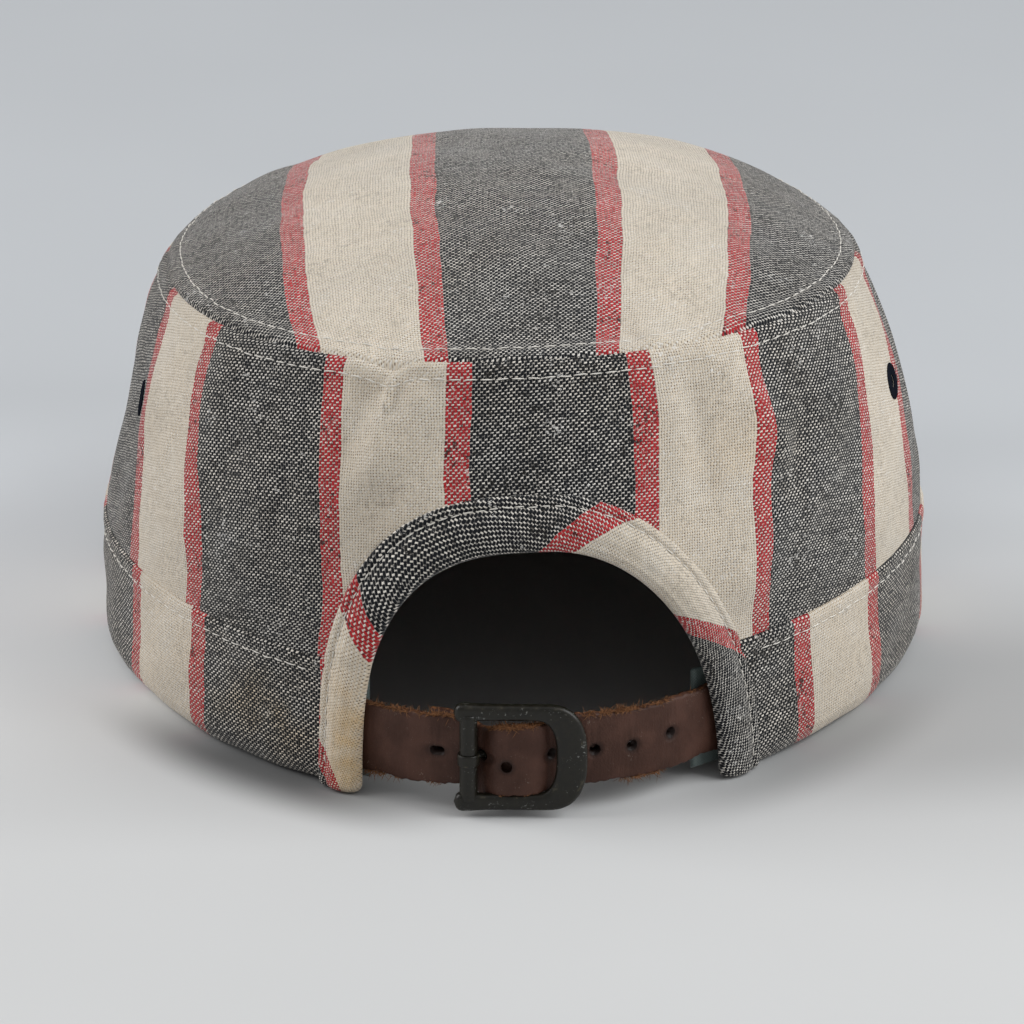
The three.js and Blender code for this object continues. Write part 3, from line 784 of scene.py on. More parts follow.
class Signal:
    """Output of a node, which plain arithmetic carries on into Math nodes."""

    def __init__(self, bench: NodeBench, socket: Socket) -> None:
        """Keeps the socket and the bench that its nodes go onto."""
        self.bench = bench
        self.socket = socket

    def __add__(self, other: Feed) -> Signal:
        """Sum with a signal or number."""
        return self.bench.math("ADD", self, other)

    def __sub__(self, other: Feed) -> Signal:
        """Difference from a signal or number."""
        return self.bench.math("SUBTRACT", self, other)

    def __rsub__(self, other: float) -> Signal:
        """Number less the signal."""
        return self.bench.math("SUBTRACT", other, self)

    def __mul__(self, other: Feed) -> Signal:
        """Product with a signal or number."""
        return self.bench.math("MULTIPLY", self, other)

    def __truediv__(self, other: Feed) -> Signal:
        """Quotient by a signal or number."""
        return self.bench.math("DIVIDE", self, other)

    def __rtruediv__(self, other: float) -> Signal:
        """Number divided by the signal."""
        return self.bench.math("DIVIDE", other, self)

    def __pow__(self, power: float) -> Signal:
        """Power of the signal."""
        return self.bench.math("POWER", self, power)

    def __abs__(self) -> Signal:
        """Size of the signal without its sign."""
        return self.bench.math("ABSOLUTE", self)


Feed = Signal | float | tuple


class NodeBench:
    """Adds nodes to a tree, and links or sets their inputs in one call."""

    def __init__(self, tree: Tree) -> None:
        """Keeps the tree that the nodes go into."""
        self.tree = tree

    def feed(self, socket: Socket, value: Feed) -> None:
        """Links a socket to a signal, or sets its value.

        Args:
            socket: Input of a node.
            value: Signal or plain value.
        """
        if isinstance(value, Signal):
            self.tree.links.new(value.socket, socket)
        else:
            socket.default_value = value

    def node(self, kind: str, inputs: dict | None = None, **settings: object) -> Node:
        """Adds a node.

        Args:
            kind: Blender's name for the kind of node.
            inputs: Signals or values for its inputs, by name or number.
            settings: Properties that are set before the inputs are fed.

        Returns:
            The new node.
        """
        made = self.tree.nodes.new(kind)
        for key, value in settings.items():
            setattr(made, key, value)
        for key, value in (inputs or {}).items():
            self.feed(made.inputs[key], value)
        return made

    def put(self, kind: str, inputs: dict | None = None, output: int | str = 0, **settings: object) -> Signal:
        """Signal from one output of a new node."""
        return Signal(self, self.node(kind, inputs, **settings).outputs[output])

    def math(self, operation: str, *values: Feed) -> Signal:
        """Result of a Math node."""
        return self.put("ShaderNodeMath", dict(enumerate(values)), operation=operation)

    def mix(self, factor: Feed, first: Feed, second: Feed) -> Signal:
        """Colour between two others."""
        return self.put("ShaderNodeMix", {0: factor, 6: first, 7: second}, 2, data_type="RGBA")

    def shade(self, colour: Feed, factor: Feed) -> Signal:
        """Colour multiplied by another colour or by a grey factor."""
        parts = [part[:3] if isinstance(part, tuple) else part for part in (colour, factor)]
        return self.put("ShaderNodeVectorMath", dict(enumerate(parts)), operation="MULTIPLY")

    def ramp(self, value: Signal, low: float, high: float, start: float = 0.0, end: float = 1.0) -> Signal:
        """Value eased from start to end as it goes from low to high."""
        limits = {"Value": value, 1: low, 2: high, 3: start, 4: end}
        return self.put("ShaderNodeMapRange", limits, interpolation_type="SMOOTHSTEP")

    def noise(self, place: Signal, scale: Feed, detail: float = 2.0) -> Signal:
        """Value of a noise texture."""
        return self.put("ShaderNodeTexNoise", {"Vector": place, "Scale": scale, "Detail": detail})

    def vector(self, x: Feed, y: Feed, z: Feed = 0.0) -> Signal:
        """Vector made of three values."""
        return self.put("ShaderNodeCombineXYZ", {0: x, 1: y, 2: z})

    def split(self, vector: Signal) -> tuple[Signal, Signal]:
        """First and second value of a vector."""
        parts = self.node("ShaderNodeSeparateXYZ", {0: vector}).outputs
        return Signal(self, parts[0]), Signal(self, parts[1])

    def attribute(self, name: str) -> Signal:
        """Value of a mesh's named mark."""
        return self.put("ShaderNodeAttribute", None, "Fac", attribute_name=name)

    def group(self, tree: Tree, inputs: dict[str, Feed]) -> dict[str, Signal]:
        """Outputs of a node group by name, with its inputs fed."""
        made = self.node("ShaderNodeGroup", inputs, node_tree=tree)
        return {socket.name: Signal(self, socket) for socket in made.outputs}


@dataclass(frozen=True)
class Groups:
    """Shader node groups that more than one finish uses, each made once. Lengths are counted in yarns."""

    wander_scales_and_reaches: tuple[Span, ...] = ((0.16, 1.1), (0.75, 0.3))
    yarn_step: float = 7.31
    tone_stretch: float = 0.12
    weft_swell: Span = (0.6, 1.4)
    warp_swell: Span = (0.86, 1.14)
    slant: float = 0.3
    warp_length: float = 0.95
    gap_edge: Span = (0.2, 0.43)
    blend: float = 0.12
    speck_broad: float = 0.13
    speck_limit: Span = (1.25, 0.8)
    speck_edge: float = 0.06

    @staticmethod
    def begin(name: str, numbers: tuple[str, ...]) -> tuple[NodeBench, dict[str, Signal]]:
        """Starts a group.

        Args:
            name: Group name.
            numbers: Names of the inputs that it has beside a place.

        Returns:
            A bench for its nodes, and its inputs by name.
        """
        bench = NodeBench(bpy.data.node_groups.new(name, "ShaderNodeTree"))
        for key, kind in {"Place": "NodeSocketVector", **dict.fromkeys(numbers, "NodeSocketFloat")}.items():
            bench.tree.interface.new_socket(name=key, in_out="INPUT", socket_type=kind)
        entry = bench.node("NodeGroupInput")
        return bench, {socket.name: Signal(bench, socket) for socket in entry.outputs}

    @staticmethod
    def close(bench: NodeBench, results: dict[str, Signal]) -> Tree:
        """Gives a group an output for each result, and returns its tree.

        Args:
            bench: Bench of the group.
            results: Signals by output name.

        Returns:
            The group's tree.
        """
        for key in results:
            bench.tree.interface.new_socket(name=key, in_out="OUTPUT", socket_type="NodeSocketFloat")
        bench.node("NodeGroupOutput", results)
        return bench.tree

    @cached_property
    def weave(self) -> Tree:
        """Plain weave: yarns of each set go over every other crossing as rounded floats.

        A float's height is the square root of 1 - (along / half length)^2 - (across / half width)^2,
        counted in yarns, and the higher float shows. Weft floats lie aslant from their yarn's twist.
        Pinholes lie where the edges of two yarns cross.

        Returns:
            The group's tree.
        """
        bench, given = self.begin("plain_weave", ("Pitch", "Weft length", "Weft width", "Warp width"))
        scaled = {0: given["Place"], 3: 1.0 / given["Pitch"]}
        yarns = bench.put("ShaderNodeVectorMath", scaled, operation="SCALE")
        moved = yarns
        for scale, reach in self.wander_scales_and_reaches:
            look = {"Vector": yarns, "Scale": scale, "Detail": 2.0}
            wander = bench.put("ShaderNodeTexNoise", look, "Color")
            shift = bench.put("ShaderNodeVectorMath", {0: wander, 3: reach}, operation="SCALE")
            moved = bench.put("ShaderNodeVectorMath", {0: moved, 1: shift}, operation="ADD")
        u, v = bench.split(moved)
        column, row = bench.math("FLOOR", u), bench.math("FLOOR", v)
        across_warp, across_weft = u - column - 0.5, v - row - 0.5

        def along(place: Signal, yarn: Signal, start: float) -> Signal:
            """Distance from the middle of the nearest float, -1 to 1, one float to every two crossings."""
            return bench.math("FLOORED_MODULO", place + yarn + start, 2.0) - 1.0

        def tone(yarn: Signal, place: Signal, offset: float) -> Signal:
            """Uneven tone along one yarn, from noise stretched along it."""
            spot = bench.vector(yarn * self.yarn_step, place * self.tone_stretch, offset)
            return bench.noise(spot, 1.0, 3.0)

        def height(lengthwise: Signal, half_length: Feed, sideways: Signal, half: Signal) -> Signal:
            """Height of a rounded float, 0 outside it."""
            left = 1.0 - ((lengthwise / half_length) ** 2 + (sideways / half) ** 2)
            return bench.math("SQRT", bench.math("MAXIMUM", left, 0.0))

        def gap(across: Signal) -> Signal:
            """One at the edge between two yarns, nought on them."""
            return bench.ramp(abs(across), *self.gap_edge)

        weft_tone, warp_tone = tone(row, u, 0.0), tone(column, v, 31.0)
        weft_half = given["Weft width"] * bench.ramp(weft_tone, *TONE_SPAN, *self.weft_swell)
        warp_half = given["Warp width"] * bench.ramp(warp_tone, *TONE_SPAN, *self.warp_swell)
        weft_along = along(u, row, 0.5)
        weft = height(weft_along, given["Weft length"], across_weft + weft_along * self.slant, weft_half)
        warp = height(along(v, column, 1.5), self.warp_length, across_warp, warp_half)
        results = {
            "Weft": bench.ramp(weft - warp, -self.blend, self.blend),
            "Height": bench.math("MAXIMUM", weft, warp),
            "Pinhole": gap(across_warp) * gap(across_weft),
            "Warp tone": warp_tone,
            "Weft tone": weft_tone,
            "Warp place": (column + 0.5) * given["Pitch"],
        }
        return self.close(bench, results)

    @cached_property
    def specks(self) -> Tree:
        """Scuffs and specks: fine noise kept only where a broad noise and an amount allow it.

        Returns:
            The group's tree.
        """
        bench, given = self.begin("specks", ("Scale", "Amount"))
        place, scale = given["Place"], given["Scale"]
        look = {"Vector": place, "Scale": scale, "Detail": 4.0, "Roughness": 0.7}
        fine = bench.put("ShaderNodeTexNoise", look)
        raised = fine + bench.noise(place, scale * self.speck_broad) * 0.5
        level, fall = self.speck_limit
        mask = bench.ramp(raised - (level - given["Amount"] * fall), 0.0, self.speck_edge)
        return self.close(bench, {"Mask": mask, "Grain": fine})


class SurfaceBench(NodeBench):
    """Bench of one material, with its shader and the shared groups."""

    def __init__(self, material: Material, groups: Groups) -> None:
        """Opens the material's nodes.

        Args:
            material: Material to dress.
            groups: Shared node groups.
        """
        super().__init__(material.node_tree)
        self.shader = self.tree.nodes["Principled BSDF"]
        self.groups = groups

    def surface(self, looks: dict[str, Feed]) -> None:
        """Links signals to inputs of the shader by name, and sets its constants."""
        for key, value in looks.items():
            self.feed(self.shader.inputs[key], value)

    def relief(self, height: Signal, depth: float) -> None:
        """Bump of a depth in metres into the shader's normal."""
        bump = self.put("ShaderNodeBump", {"Height": height, "Distance": depth, "Strength": 1.0})
        self.surface({"Normal": bump})

    def object_place(self) -> Signal:
        """Metres in the row frame."""
        return self.put("ShaderNodeTexCoord", None, "Object")

    def cloth_place(self) -> Signal:
        """Millimetres on the cloth, from its UV map."""
        return self.put("ShaderNodeUVMap", uv_map="cloth")

    def woven(
        self, place: Signal, pitch: float, length: float, weft: float, warp: float
    ) -> dict[str, Signal]:
        """Plain weave of a yarn pitch, with the length and width of its weft floats and its warp's width."""
        sizes = {"Pitch": pitch, "Weft length": length, "Weft width": weft, "Warp width": warp}
        return self.group(self.groups.weave, {"Place": place, **sizes})


@dataclass(frozen=True)
class Patches:
    """Soft patches: noise of a scale, eased from start to end as it goes from low to high."""

    scale: float
    low: float
    high: float
    start: float = 0.0
    end: float = 1.0
    detail: float = 2.0

    def lay(self, bench: NodeBench, place: Signal) -> Signal:
        """Value of the patches at a place."""
        value = bench.noise(place, self.scale, self.detail)
        return bench.ramp(value, self.low, self.high, self.start, self.end)


@dataclass(frozen=True)
class Specks:
    """Strewn specks: scale of their noise, how many there are, and how well they cover."""

    scale: float
    amount: float
    cover: float = 1.0

    def strew(self, bench: SurfaceBench, place: Signal) -> dict[str, Signal]:
        """Mask and grain of the specks at a place."""
        return bench.group(bench.groups.specks, {"Place": place, "Scale": self.scale, "Amount": self.amount})


@dataclass(frozen=True)
class Finish:
    """Material with a name; each kind of finish draws its own nodes."""

    name: str

    def material(self, groups: Groups) -> Material:
        """New material with a Principled shader, dressed by the finish.

        Args:
            groups: Shared node groups.

        Returns:
            The new material.
        """
        made = bpy.data.materials.new(self.name)
        made.use_nodes = True
        self.dress(SurfaceBench(made, groups))
        return made

    def dress(self, bench: SurfaceBench) -> None:
        """Feeds the shader; every finish has its own."""
        raise NotImplementedError


@dataclass(frozen=True)
class StripedCloth(Finish):
    """Plain-woven cotton: dark, red and cream warps in stripes, crossed by an off-white weft."""

    pitch: float = 0.59
    half_repeat: float = 33.0
    dark_half: float = 16.8
    red_end: float = 21.7
    dark: Colour = (0.0070, 0.0084, 0.0115, 1.0)
    red: Colour = (0.40, 0.023, 0.028, 1.0)
    cream: Colour = (0.645, 0.57, 0.465, 1.0)
    weft: Colour = (0.70, 0.672, 0.625, 1.0)
    fleck: Colour = (0.80, 0.79, 0.77, 1.0)
    # Painted shade seen through the pinholes of the cream stripes.
    hole: Colour = (0.13, 0.085, 0.052, 1.0)
    stain: Colour = (0.92, 0.68, 0.36, 1.0)
    nub: Colour = (0.015, 0.014, 0.013, 1.0)
    sheen: Colour = (0.9, 0.88, 0.85, 1.0)
    weft_length: float = 0.59
    weft_width: float = 0.28
    warp_width: float = 0.50
    heather: Span = (0.24, 0.07)
    heather_tone: Span = (0.25, 0.75)
    weft_drift: Patches = Patches(0.02, 0.3, 0.7, 0.0, 0.25)
    clumps: Patches = Patches(0.9, 0.48, 0.37, 0.0, 0.75, 3.0)
    clump_cover: Span = (1.0, 0.15)
    open_weave: Patches = Patches(0.6, 0.35, 0.65, 0.35, 1.2, 3.0)
    nubs: Specks = Specks(0.7, 0.5)
    nub_cover: Span = (0.85, 0.2)
    flecks: Specks = Specks(0.9, 0.44, 0.6)
    fleck_shift: tuple[float, float, float] = (313.0, 171.0, 0.0)
    dirt: Patches = Patches(0.09, 0.2, 0.65)
    dirt_cover: float = 0.6
    fading: Patches = Patches(0.035, 0.3, 0.7, 0.93, 1.05, 3.0)
    fuzz_scale: float = 6.0
    fuzz: float = 0.35
    depth: float = 0.00012

    def dress(self, bench: SurfaceBench) -> None:
        """Colours the warp by its stripe, lays the weft over it, darkens pinholes with painted shade, adds
        stains and bump.

        Args:
            bench: Bench of the material.
        """
        place = bench.cloth_place()
        weave = bench.woven(place, self.pitch, self.weft_length, self.weft_width, self.warp_width)
        folded = bench.math("PINGPONG", weave["Warp place"], self.half_repeat)
        is_red = bench.math("GREATER_THAN", folded, self.dark_half)
        is_cream = bench.math("GREATER_THAN", folded, self.red_end)

        def by_stripe(span: Span) -> Signal:
            """First value outside the cream stripes, second value in them."""
            return bench.ramp(is_cream, 0.0, 1.0, *span)

        swing = by_stripe(self.heather)

        def uneven(colour: Signal, tone: Signal) -> Signal:
            """Colour made lighter and darker along its yarns, more so outside the cream stripes."""
            return bench.shade(colour, bench.ramp(tone, *self.heather_tone, -1.0, 1.0) * swing + 1.0)

        warp = bench.mix(is_cream, bench.mix(is_red, self.dark, self.red), self.cream)
        warp = uneven(warp, weave["Warp tone"])
        weft = bench.mix(self.weft_drift.lay(bench, place), self.weft, self.cream)
        weft = uneven(weft, weave["Weft tone"])
        clump = self.clumps.lay(bench, place) * by_stripe(self.clump_cover)
        colour = bench.mix(weave["Weft"] * (1.0 - clump), warp, weft)
        # Painted shade: pinholes between the yarns are darkened, to the dark warp outside the cream stripes
        # and to a brown within them.
        pinhole_shade_mask = weave["Pinhole"] * self.open_weave.lay(bench, place)
        colour = bench.mix(pinhole_shade_mask, colour, bench.mix(is_cream, self.dark, self.hole))
        nubs = self.nubs.strew(bench, place)["Mask"] * by_stripe(self.nub_cover)
        colour = bench.mix(nubs, colour, self.nub)
        aside = bench.put("ShaderNodeVectorMath", {0: place, 1: self.fleck_shift}, operation="ADD")
        colour = bench.mix(self.flecks.strew(bench, aside)["Mask"] * self.flecks.cover, colour, self.fleck)
        dirt = bench.attribute("stain") * self.dirt.lay(bench, place) * self.dirt_cover
        colour = bench.mix(dirt, colour, bench.shade(colour, self.stain))
        looks = {
            "Base Color": bench.shade(colour, self.fading.lay(bench, place)),
            "Roughness": 0.92,
            "Specular IOR Level": 0.2,
            "Sheen Weight": 0.32,
            "Sheen Roughness": 0.36,
            "Sheen Tint": self.sheen,
        }
        bench.surface(looks)
        fuzz = bench.noise(place, self.fuzz_scale, 3.0) * self.fuzz
        bench.relief(weave["Height"] + fuzz, self.depth)


@dataclass(frozen=True)
class SatinTape(Finish):
    """Grey-green satin tape with fine cross ribs."""

    face: Colour = (0.088, 0.120, 0.113, 1.0)
    rib: Colour = (0.145, 0.182, 0.172, 1.0)
    pitch: float = 0.32
    rib_length: float = 0.92
    rib_width: float = 0.45
    warp_width: float = 0.4
    roughness: Span = (0.38, 0.52)
    depth: float = 0.00005

    def dress(self, bench: SurfaceBench) -> None:
        """Weaves the tape finely and keeps a soft gloss.

        Args:
            bench: Bench of the material.
        """
        weave = bench.woven(bench.cloth_place(), self.pitch, self.rib_length, self.rib_width, self.warp_width)
        looks = {
            "Base Color": bench.mix(weave["Weft"], self.face, self.rib),
            "Roughness": bench.ramp(weave["Weft tone"], *TONE_SPAN, *self.roughness),
            "Sheen Weight": 0.2,
        }
        bench.surface(looks)
        bench.relief(weave["Height"], self.depth)


@dataclass(frozen=True)
class StrapLeather(Finish):
    """Smooth leather, with raw fibrous edges, scuffs, a fine grain, and painted shade in its hole walls, hole
    lips and creases.
    """

    face: Colour = (0.047, 0.0196, 0.0125, 1.0)
    worn: Colour = (0.074, 0.033, 0.0225, 1.0)
    raw: Colour = (0.20, 0.083, 0.031, 1.0)
    # Painted shade for hole walls, hole lips and creases.
    recess_shade: Colour = (0.13, 0.11, 0.10, 1.0)
    scuff: Colour = (0.36, 0.30, 0.25, 1.0)
    patches: Patches = Patches(160.0, 0.35, 0.7, detail=3.0)
    scuffs: Specks = Specks(2600.0, 0.38, 0.5)
    recess_shade_cover: float = 0.9
    ragged_scale: float = 900.0
    ragged_span: Span = (1.15, 1.55)
    smooth: float = 0.5
    raw_roughness: float = 0.35
    pore_scale: float = 2300.0
    pore_share: float = 0.5
    crease_scale: float = 1300.0
    crease_stretch: tuple[float, float, float] = (1.0, 1.0, 0.2)
    depth: float = 0.00012

    def dress(self, bench: SurfaceBench) -> None:
        """Mixes face, worn patches, raw edges and pale specks by noise and by the raw mark, and darkens hole
        walls, hole lips and creases with painted shade by their mark.

        Args:
            bench: Bench of the material.
        """
        place = bench.object_place()
        colour = bench.mix(self.patches.lay(bench, place), self.face, self.worn)
        colour = bench.mix(self.scuffs.strew(bench, place)["Mask"] * self.scuffs.cover, colour, self.scuff)
        # Painted shade: hole walls, sunken lips and creases darkened by their mark.
        recess_shaded = bench.attribute("recess_shade") * self.recess_shade_cover
        colour = bench.mix(recess_shaded, colour, bench.shade(colour, self.recess_shade))
        ragged = bench.attribute("raw") + bench.noise(place, self.ragged_scale, 3.0)
        edge = bench.ramp(ragged, *self.ragged_span)
        looks = {
            "Base Color": bench.mix(edge, colour, self.raw),
            "Roughness": edge * self.raw_roughness + self.smooth,
            "Specular IOR Level": 0.22,
        }
        bench.surface(looks)
        pores = bench.put("ShaderNodeTexVoronoi", {"Vector": place, "Scale": self.pore_scale}, "Distance")
        crease = bench.noise(bench.shade(place, self.crease_stretch), self.crease_scale, 4.0)
        bench.relief(pores * self.pore_share + crease, self.depth)


@dataclass(frozen=True)
class Strands(Finish):
    """Thread or loose fibre whose colour varies along its way."""

    pale: Colour = (0.80, 0.77, 0.71, 1.0)
    deep: Colour = (0.62, 0.58, 0.52, 1.0)
    scale: float = 400.0
    roughness: float = 0.8
    gloss: float = 0.2
    sheen: float = 0.2

    def dress(self, bench: SurfaceBench) -> None:
        """Mixes the pale and the deep colour by noise.

        Args:
            bench: Bench of the material.
        """
        looks = {
            "Base Color": bench.mix(bench.noise(bench.object_place(), self.scale), self.deep, self.pale),
            "Roughness": self.roughness,
            "Specular IOR Level": self.gloss,
            "Sheen Weight": self.sheen,
        }
        bench.surface(looks)


RAW_FIBRE = Strands(
    "raw_fibre",
    pale=(0.34, 0.150, 0.055, 1.0),
    deep=(0.090, 0.034, 0.012, 1.0),
    scale=900.0,
    roughness=0.85,
    gloss=0.5,
    sheen=0.0,
)
DARK_THREAD = Strands(
    "dark_thread", pale=(0.012, 0.014, 0.020, 1.0), deep=(0.006, 0.007, 0.010, 1.0), gloss=0.0, sheen=0.0
)


@dataclass(frozen=True)
class DarkMetal(Finish):
    """Dark gunmetal with worn bright edges and pale specks."""

    coat: Colour = (0.0088, 0.0076, 0.0044, 1.0)
    bright: Colour = (0.2, 0.172, 0.115, 1.0)
    speck: Colour = (0.26, 0.265, 0.25, 1.0)
    rough_scale: float = 700.0
    rough_span: Span = (0.3, 0.7)
    rubbed_span: Span = (1.24, 1.8)
    specks: Specks = Specks(1900.0, 0.45, 0.6)
    mottle: Span = (0.75, 1.3)
    bare: float = 0.9
    roughness: Span = (0.36, 0.52)
    depth: float = 0.00005

    def dress(self, bench: SurfaceBench) -> None:
        """Rubs the coat through along the edge mark, and strews specks.

        Args:
            bench: Bench of the material.
        """
        place = bench.object_place()
        rough = bench.noise(place, self.rough_scale, 4.0)
        rubbed = bench.ramp(bench.attribute("edge") + rough, *self.rubbed_span)
        specks = self.specks.strew(bench, place)
        mottled = bench.shade(self.coat, bench.ramp(rough, *self.rough_span, *self.mottle))
        colour = bench.mix(rubbed, mottled, self.bright)
        looks = {
            "Base Color": bench.mix(specks["Mask"] * self.specks.cover, colour, self.speck),
            "Metallic": rubbed * self.bare,
            "Roughness": bench.ramp(rough, *self.rough_span, *self.roughness),
            "Specular IOR Level": 0.25,
            "Coat Weight": 0.2,
            "Coat Roughness": 0.2,
        }
        bench.surface(looks)
        bench.relief(specks["Grain"], self.depth)


@dataclass(frozen=True)
class PaintedLightBand:
    """Stretch of floor beside the cap with painted light or painted shadow: its side, its change of tone
    (above nought painted light, below it painted shadow), and where along Y it comes and goes.
    """

    side: int
    change: float
    comes: Span
    goes: Span


@dataclass(frozen=True)
class PaleFloor(Finish):
    """Plain pale floor with painted light and shade: it darkens and cools to the back, carries a painted
    contact shadow close to the rim, and has bands of painted light and painted shadow beside the cap.

    Places along Y are metres. Places across are counted in half-widths of the rim.
    """

    near: Colour = (0.59, 0.592, 0.59, 1.0)
    # The far colour and its grade along Y are painted shade: the floor darkens and cools toward the back.
    far: Colour = (0.510, 0.527, 0.546, 1.0)
    shade_to_back: Span = (0.10, -0.08)
    rim_half: float = 0.0866
    rim_reach: float = 0.1015
    # Painted contact shadow: the floor darkens close to the rim behind the cap, more on the left than on the
    # right.
    contact_shadow_reach: float = 0.018
    contact_shadow_depth: Span = (0.35, 0.78)
    contact_shadow_turn: Span = (-0.5, 0.5)
    contact_shadow_across: Span = (0.2, 0.6)
    contact_shadow_along: Span = (0.3, 0.7)
    # Bands of painted light and painted shadow on the floor beside the cap.
    painted_band_across: Span = (0.2, 0.9)
    painted_band_fade: Span = (2.6, 1.5)
    painted_light_bands: tuple[PaintedLightBand, ...] = (
        PaintedLightBand(1, 0.34, (-0.13, -0.05), (0.125, 0.04)),
        PaintedLightBand(-1, 0.17, (-0.08, -0.03), (0.03, -0.005)),
        PaintedLightBand(-1, -0.2, (0.02, 0.06), (0.14, 0.10)),
    )
    clouds: Patches = Patches(9.0, 0.0, 1.0, 0.98, 1.02)

    def dress(self, bench: SurfaceBench) -> None:
        """Grades the floor along Y into painted shade at the back, paints a contact shadow beside the rim's
        ellipse, and paints light or shadow over bands of it.

        Args:
            bench: Bench of the material.
        """
        place = bench.object_place()
        across, depth = bench.split(place)
        # Painted shade: darker and cooler toward the back.
        colour = bench.mix(bench.ramp(depth, *self.shade_to_back), self.near, self.far)
        x = across / self.rim_half
        y = (depth - float(CROWN_AXIS[1]) * METRES) / self.rim_reach
        # Painted contact shadow: darker close to the rim's ellipse, behind the cap, more on the left.
        away = (bench.math("SQRT", x**2 + y**2) - 1.0) * self.rim_reach
        behind = bench.ramp(abs(x), *self.contact_shadow_across) * bench.ramp(y, *self.contact_shadow_along)
        beside = bench.ramp(away, self.contact_shadow_reach, 0.0) * behind
        colour = bench.shade(colour, 1.0 - beside * bench.ramp(x, *self.contact_shadow_turn, *self.contact_shadow_depth))
        # Painted light and painted shadow over bands of floor beside the cap.
        fade = bench.ramp(abs(x), *self.painted_band_fade)
        for band in self.painted_light_bands:
            inner, outer = (band.side * edge for edge in self.painted_band_across)
            stretch = bench.ramp(depth, *band.comes) * bench.ramp(depth, *band.goes)
            stretch = stretch * bench.ramp(x, inner, outer) * fade
            colour = bench.shade(colour, stretch * band.change + 1.0)
        bench.surface({"Base Color": bench.shade(colour, self.clouds.lay(bench, place)), "Roughness": 0.85})


# Pieces


def settle(piece: Piece, material: Material, slot: Slot, *nodes: str) -> Piece:
    """Gives a piece its material and body, and hides the solids that it stands for.

    Args:
        piece: The finished object.
        material: Its material.
        slot: Not used.
        nodes: Solids that it replaces.

    Returns:
        The same object.
    """
    piece.data.materials.clear()
    piece.data.materials.append(material)
    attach(piece, BODY)
    if nodes:
        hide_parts(*nodes)
    LOG.info("%s: %d faces", piece.name, len(piece.data.polygons))
    return piece


@dataclass(frozen=True)
class TopStitch:
    """Row of topstitching: short thread tubes that dive into the cloth at both ends."""

    radius: float = 0.15
    length: float = 3.0
    pitch: float = 3.15
    wander: float = 0.1
    rings: int = 7
    sides: int = 6
    rise: float = 1.5
    sink: float = 0.7

    def rings_along(self, line: Array, normals: Array, start: float = 0.0) -> Array:
        """Rings of every stitch along a line.

        The thread's height over the cloth is radius (rise sqrt(sin) - sink) along each stitch, and each
        stitch lies a little to one side.

        Args:
            line: Points on the cloth's face, (n, 3).
            normals: Outward normals there, (n, 3).
            start: Length along the line of the first stitch.

        Returns:
            Ring points, (stitches, rings, sides, 3).
        """
        total = path_lengths(line)[-1]
        begins = np.arange(start, total - self.length, self.pitch)
        share = np.linspace(0.0, 1.0, self.rings)
        swell = np.sqrt(np.sin(np.pi * share))
        at = begins[:, None] + self.length * share
        up = unit(resample(line, normals, at))
        middle = resample(line, line, at)
        aside = np.random.default_rng(SEED).normal(0.0, self.wander, (len(begins), 2))
        offset = aside[:, :1] + (aside[:, 1:] - aside[:, :1]) * share
        middle = middle + unit(np.cross(up, np.gradient(middle, axis=1))) * offset[..., None]
        middle = middle + up * (self.radius * (self.rise * swell - self.sink))[:, None]
        return sweep(middle, up, np.broadcast_to(self.radius * swell, at.shape), self.sides)


@dataclass(frozen=True)
class Ripple:
    """Waviness along an edge: its size and its wavelengths."""

    size: float
    lengths: Numbers

    def at(self, along: Array, phase: float = 0.0) -> Array:
        """Size times the mean of the waves."""
        return self.size * waves(along, self.lengths, phase)


@dataclass(frozen=True)
class SeamRidge:
    """Relief beside a seam: the folded allowance raised up to its stitch row, which sinks in a little."""

    ridge: float = 0.6
    stitch: float = 3.4
    dimple: float = 0.22
    pucker: Ripple = Ripple(0.16, (5.3, 7.9, 12.1))
    roll: float = 0.9
    fall: Span = (-0.4, 2.0)
    dimple_width: float = 0.55
    pucker_width: float = 3.2

    def relief(self, distance: Array, along: Array) -> Array:
        """Ridge up to the stitches, less a dimple there, plus puckers that vary along the seam.

        Args:
            distance: Distances from the seam.
            along: Lengths along it.

        Returns:
            Relief in millimetres.
        """
        past = distance - self.stitch
        raised = smoothstep(distance, 0.0, self.roll) * (1 - smoothstep(past, *self.fall))
        crinkle = self.pucker.at(along) * bell(past, self.pucker_width)
        return self.ridge * raised - self.dimple * bell(past, self.dimple_width) + crinkle


@dataclass(frozen=True)
class Stain:
    """Soft stain: strength, middle and reach along and up the cloth, and the dirt that lies all over it."""

    strength: float
    along: Span
    up: Span
    overall: float

    def mark(self, along: Array, up: Array) -> Array:
        """Product of a bell along the cloth and a bell up it, added to the dirt all over."""
        first = bell(along - self.along[0], self.along[1])
        return self.strength * first * bell(up - self.up[0], self.up[1]) + self.overall


def cloth_ripple(along: Array, up: Array) -> Array:
    """Gentle unevenness of soft cloth: mean of slanting waves 23 to 61 mm long.

    Args:
        along: Places along the cloth.
        up: Places up it.

    Returns:
        Values from -1 to 1.
    """
    slants = ((61.0, 47.0, 0.3), (39.0, -71.0, 1.7), (23.0, 90.0, 4.1), (31.0, 28.0, 2.6))
    parts = [np.sin(2 * np.pi * (along / a + up / b) + phase) for a, b, phase in slants]
    return np.mean(parts, axis=0)


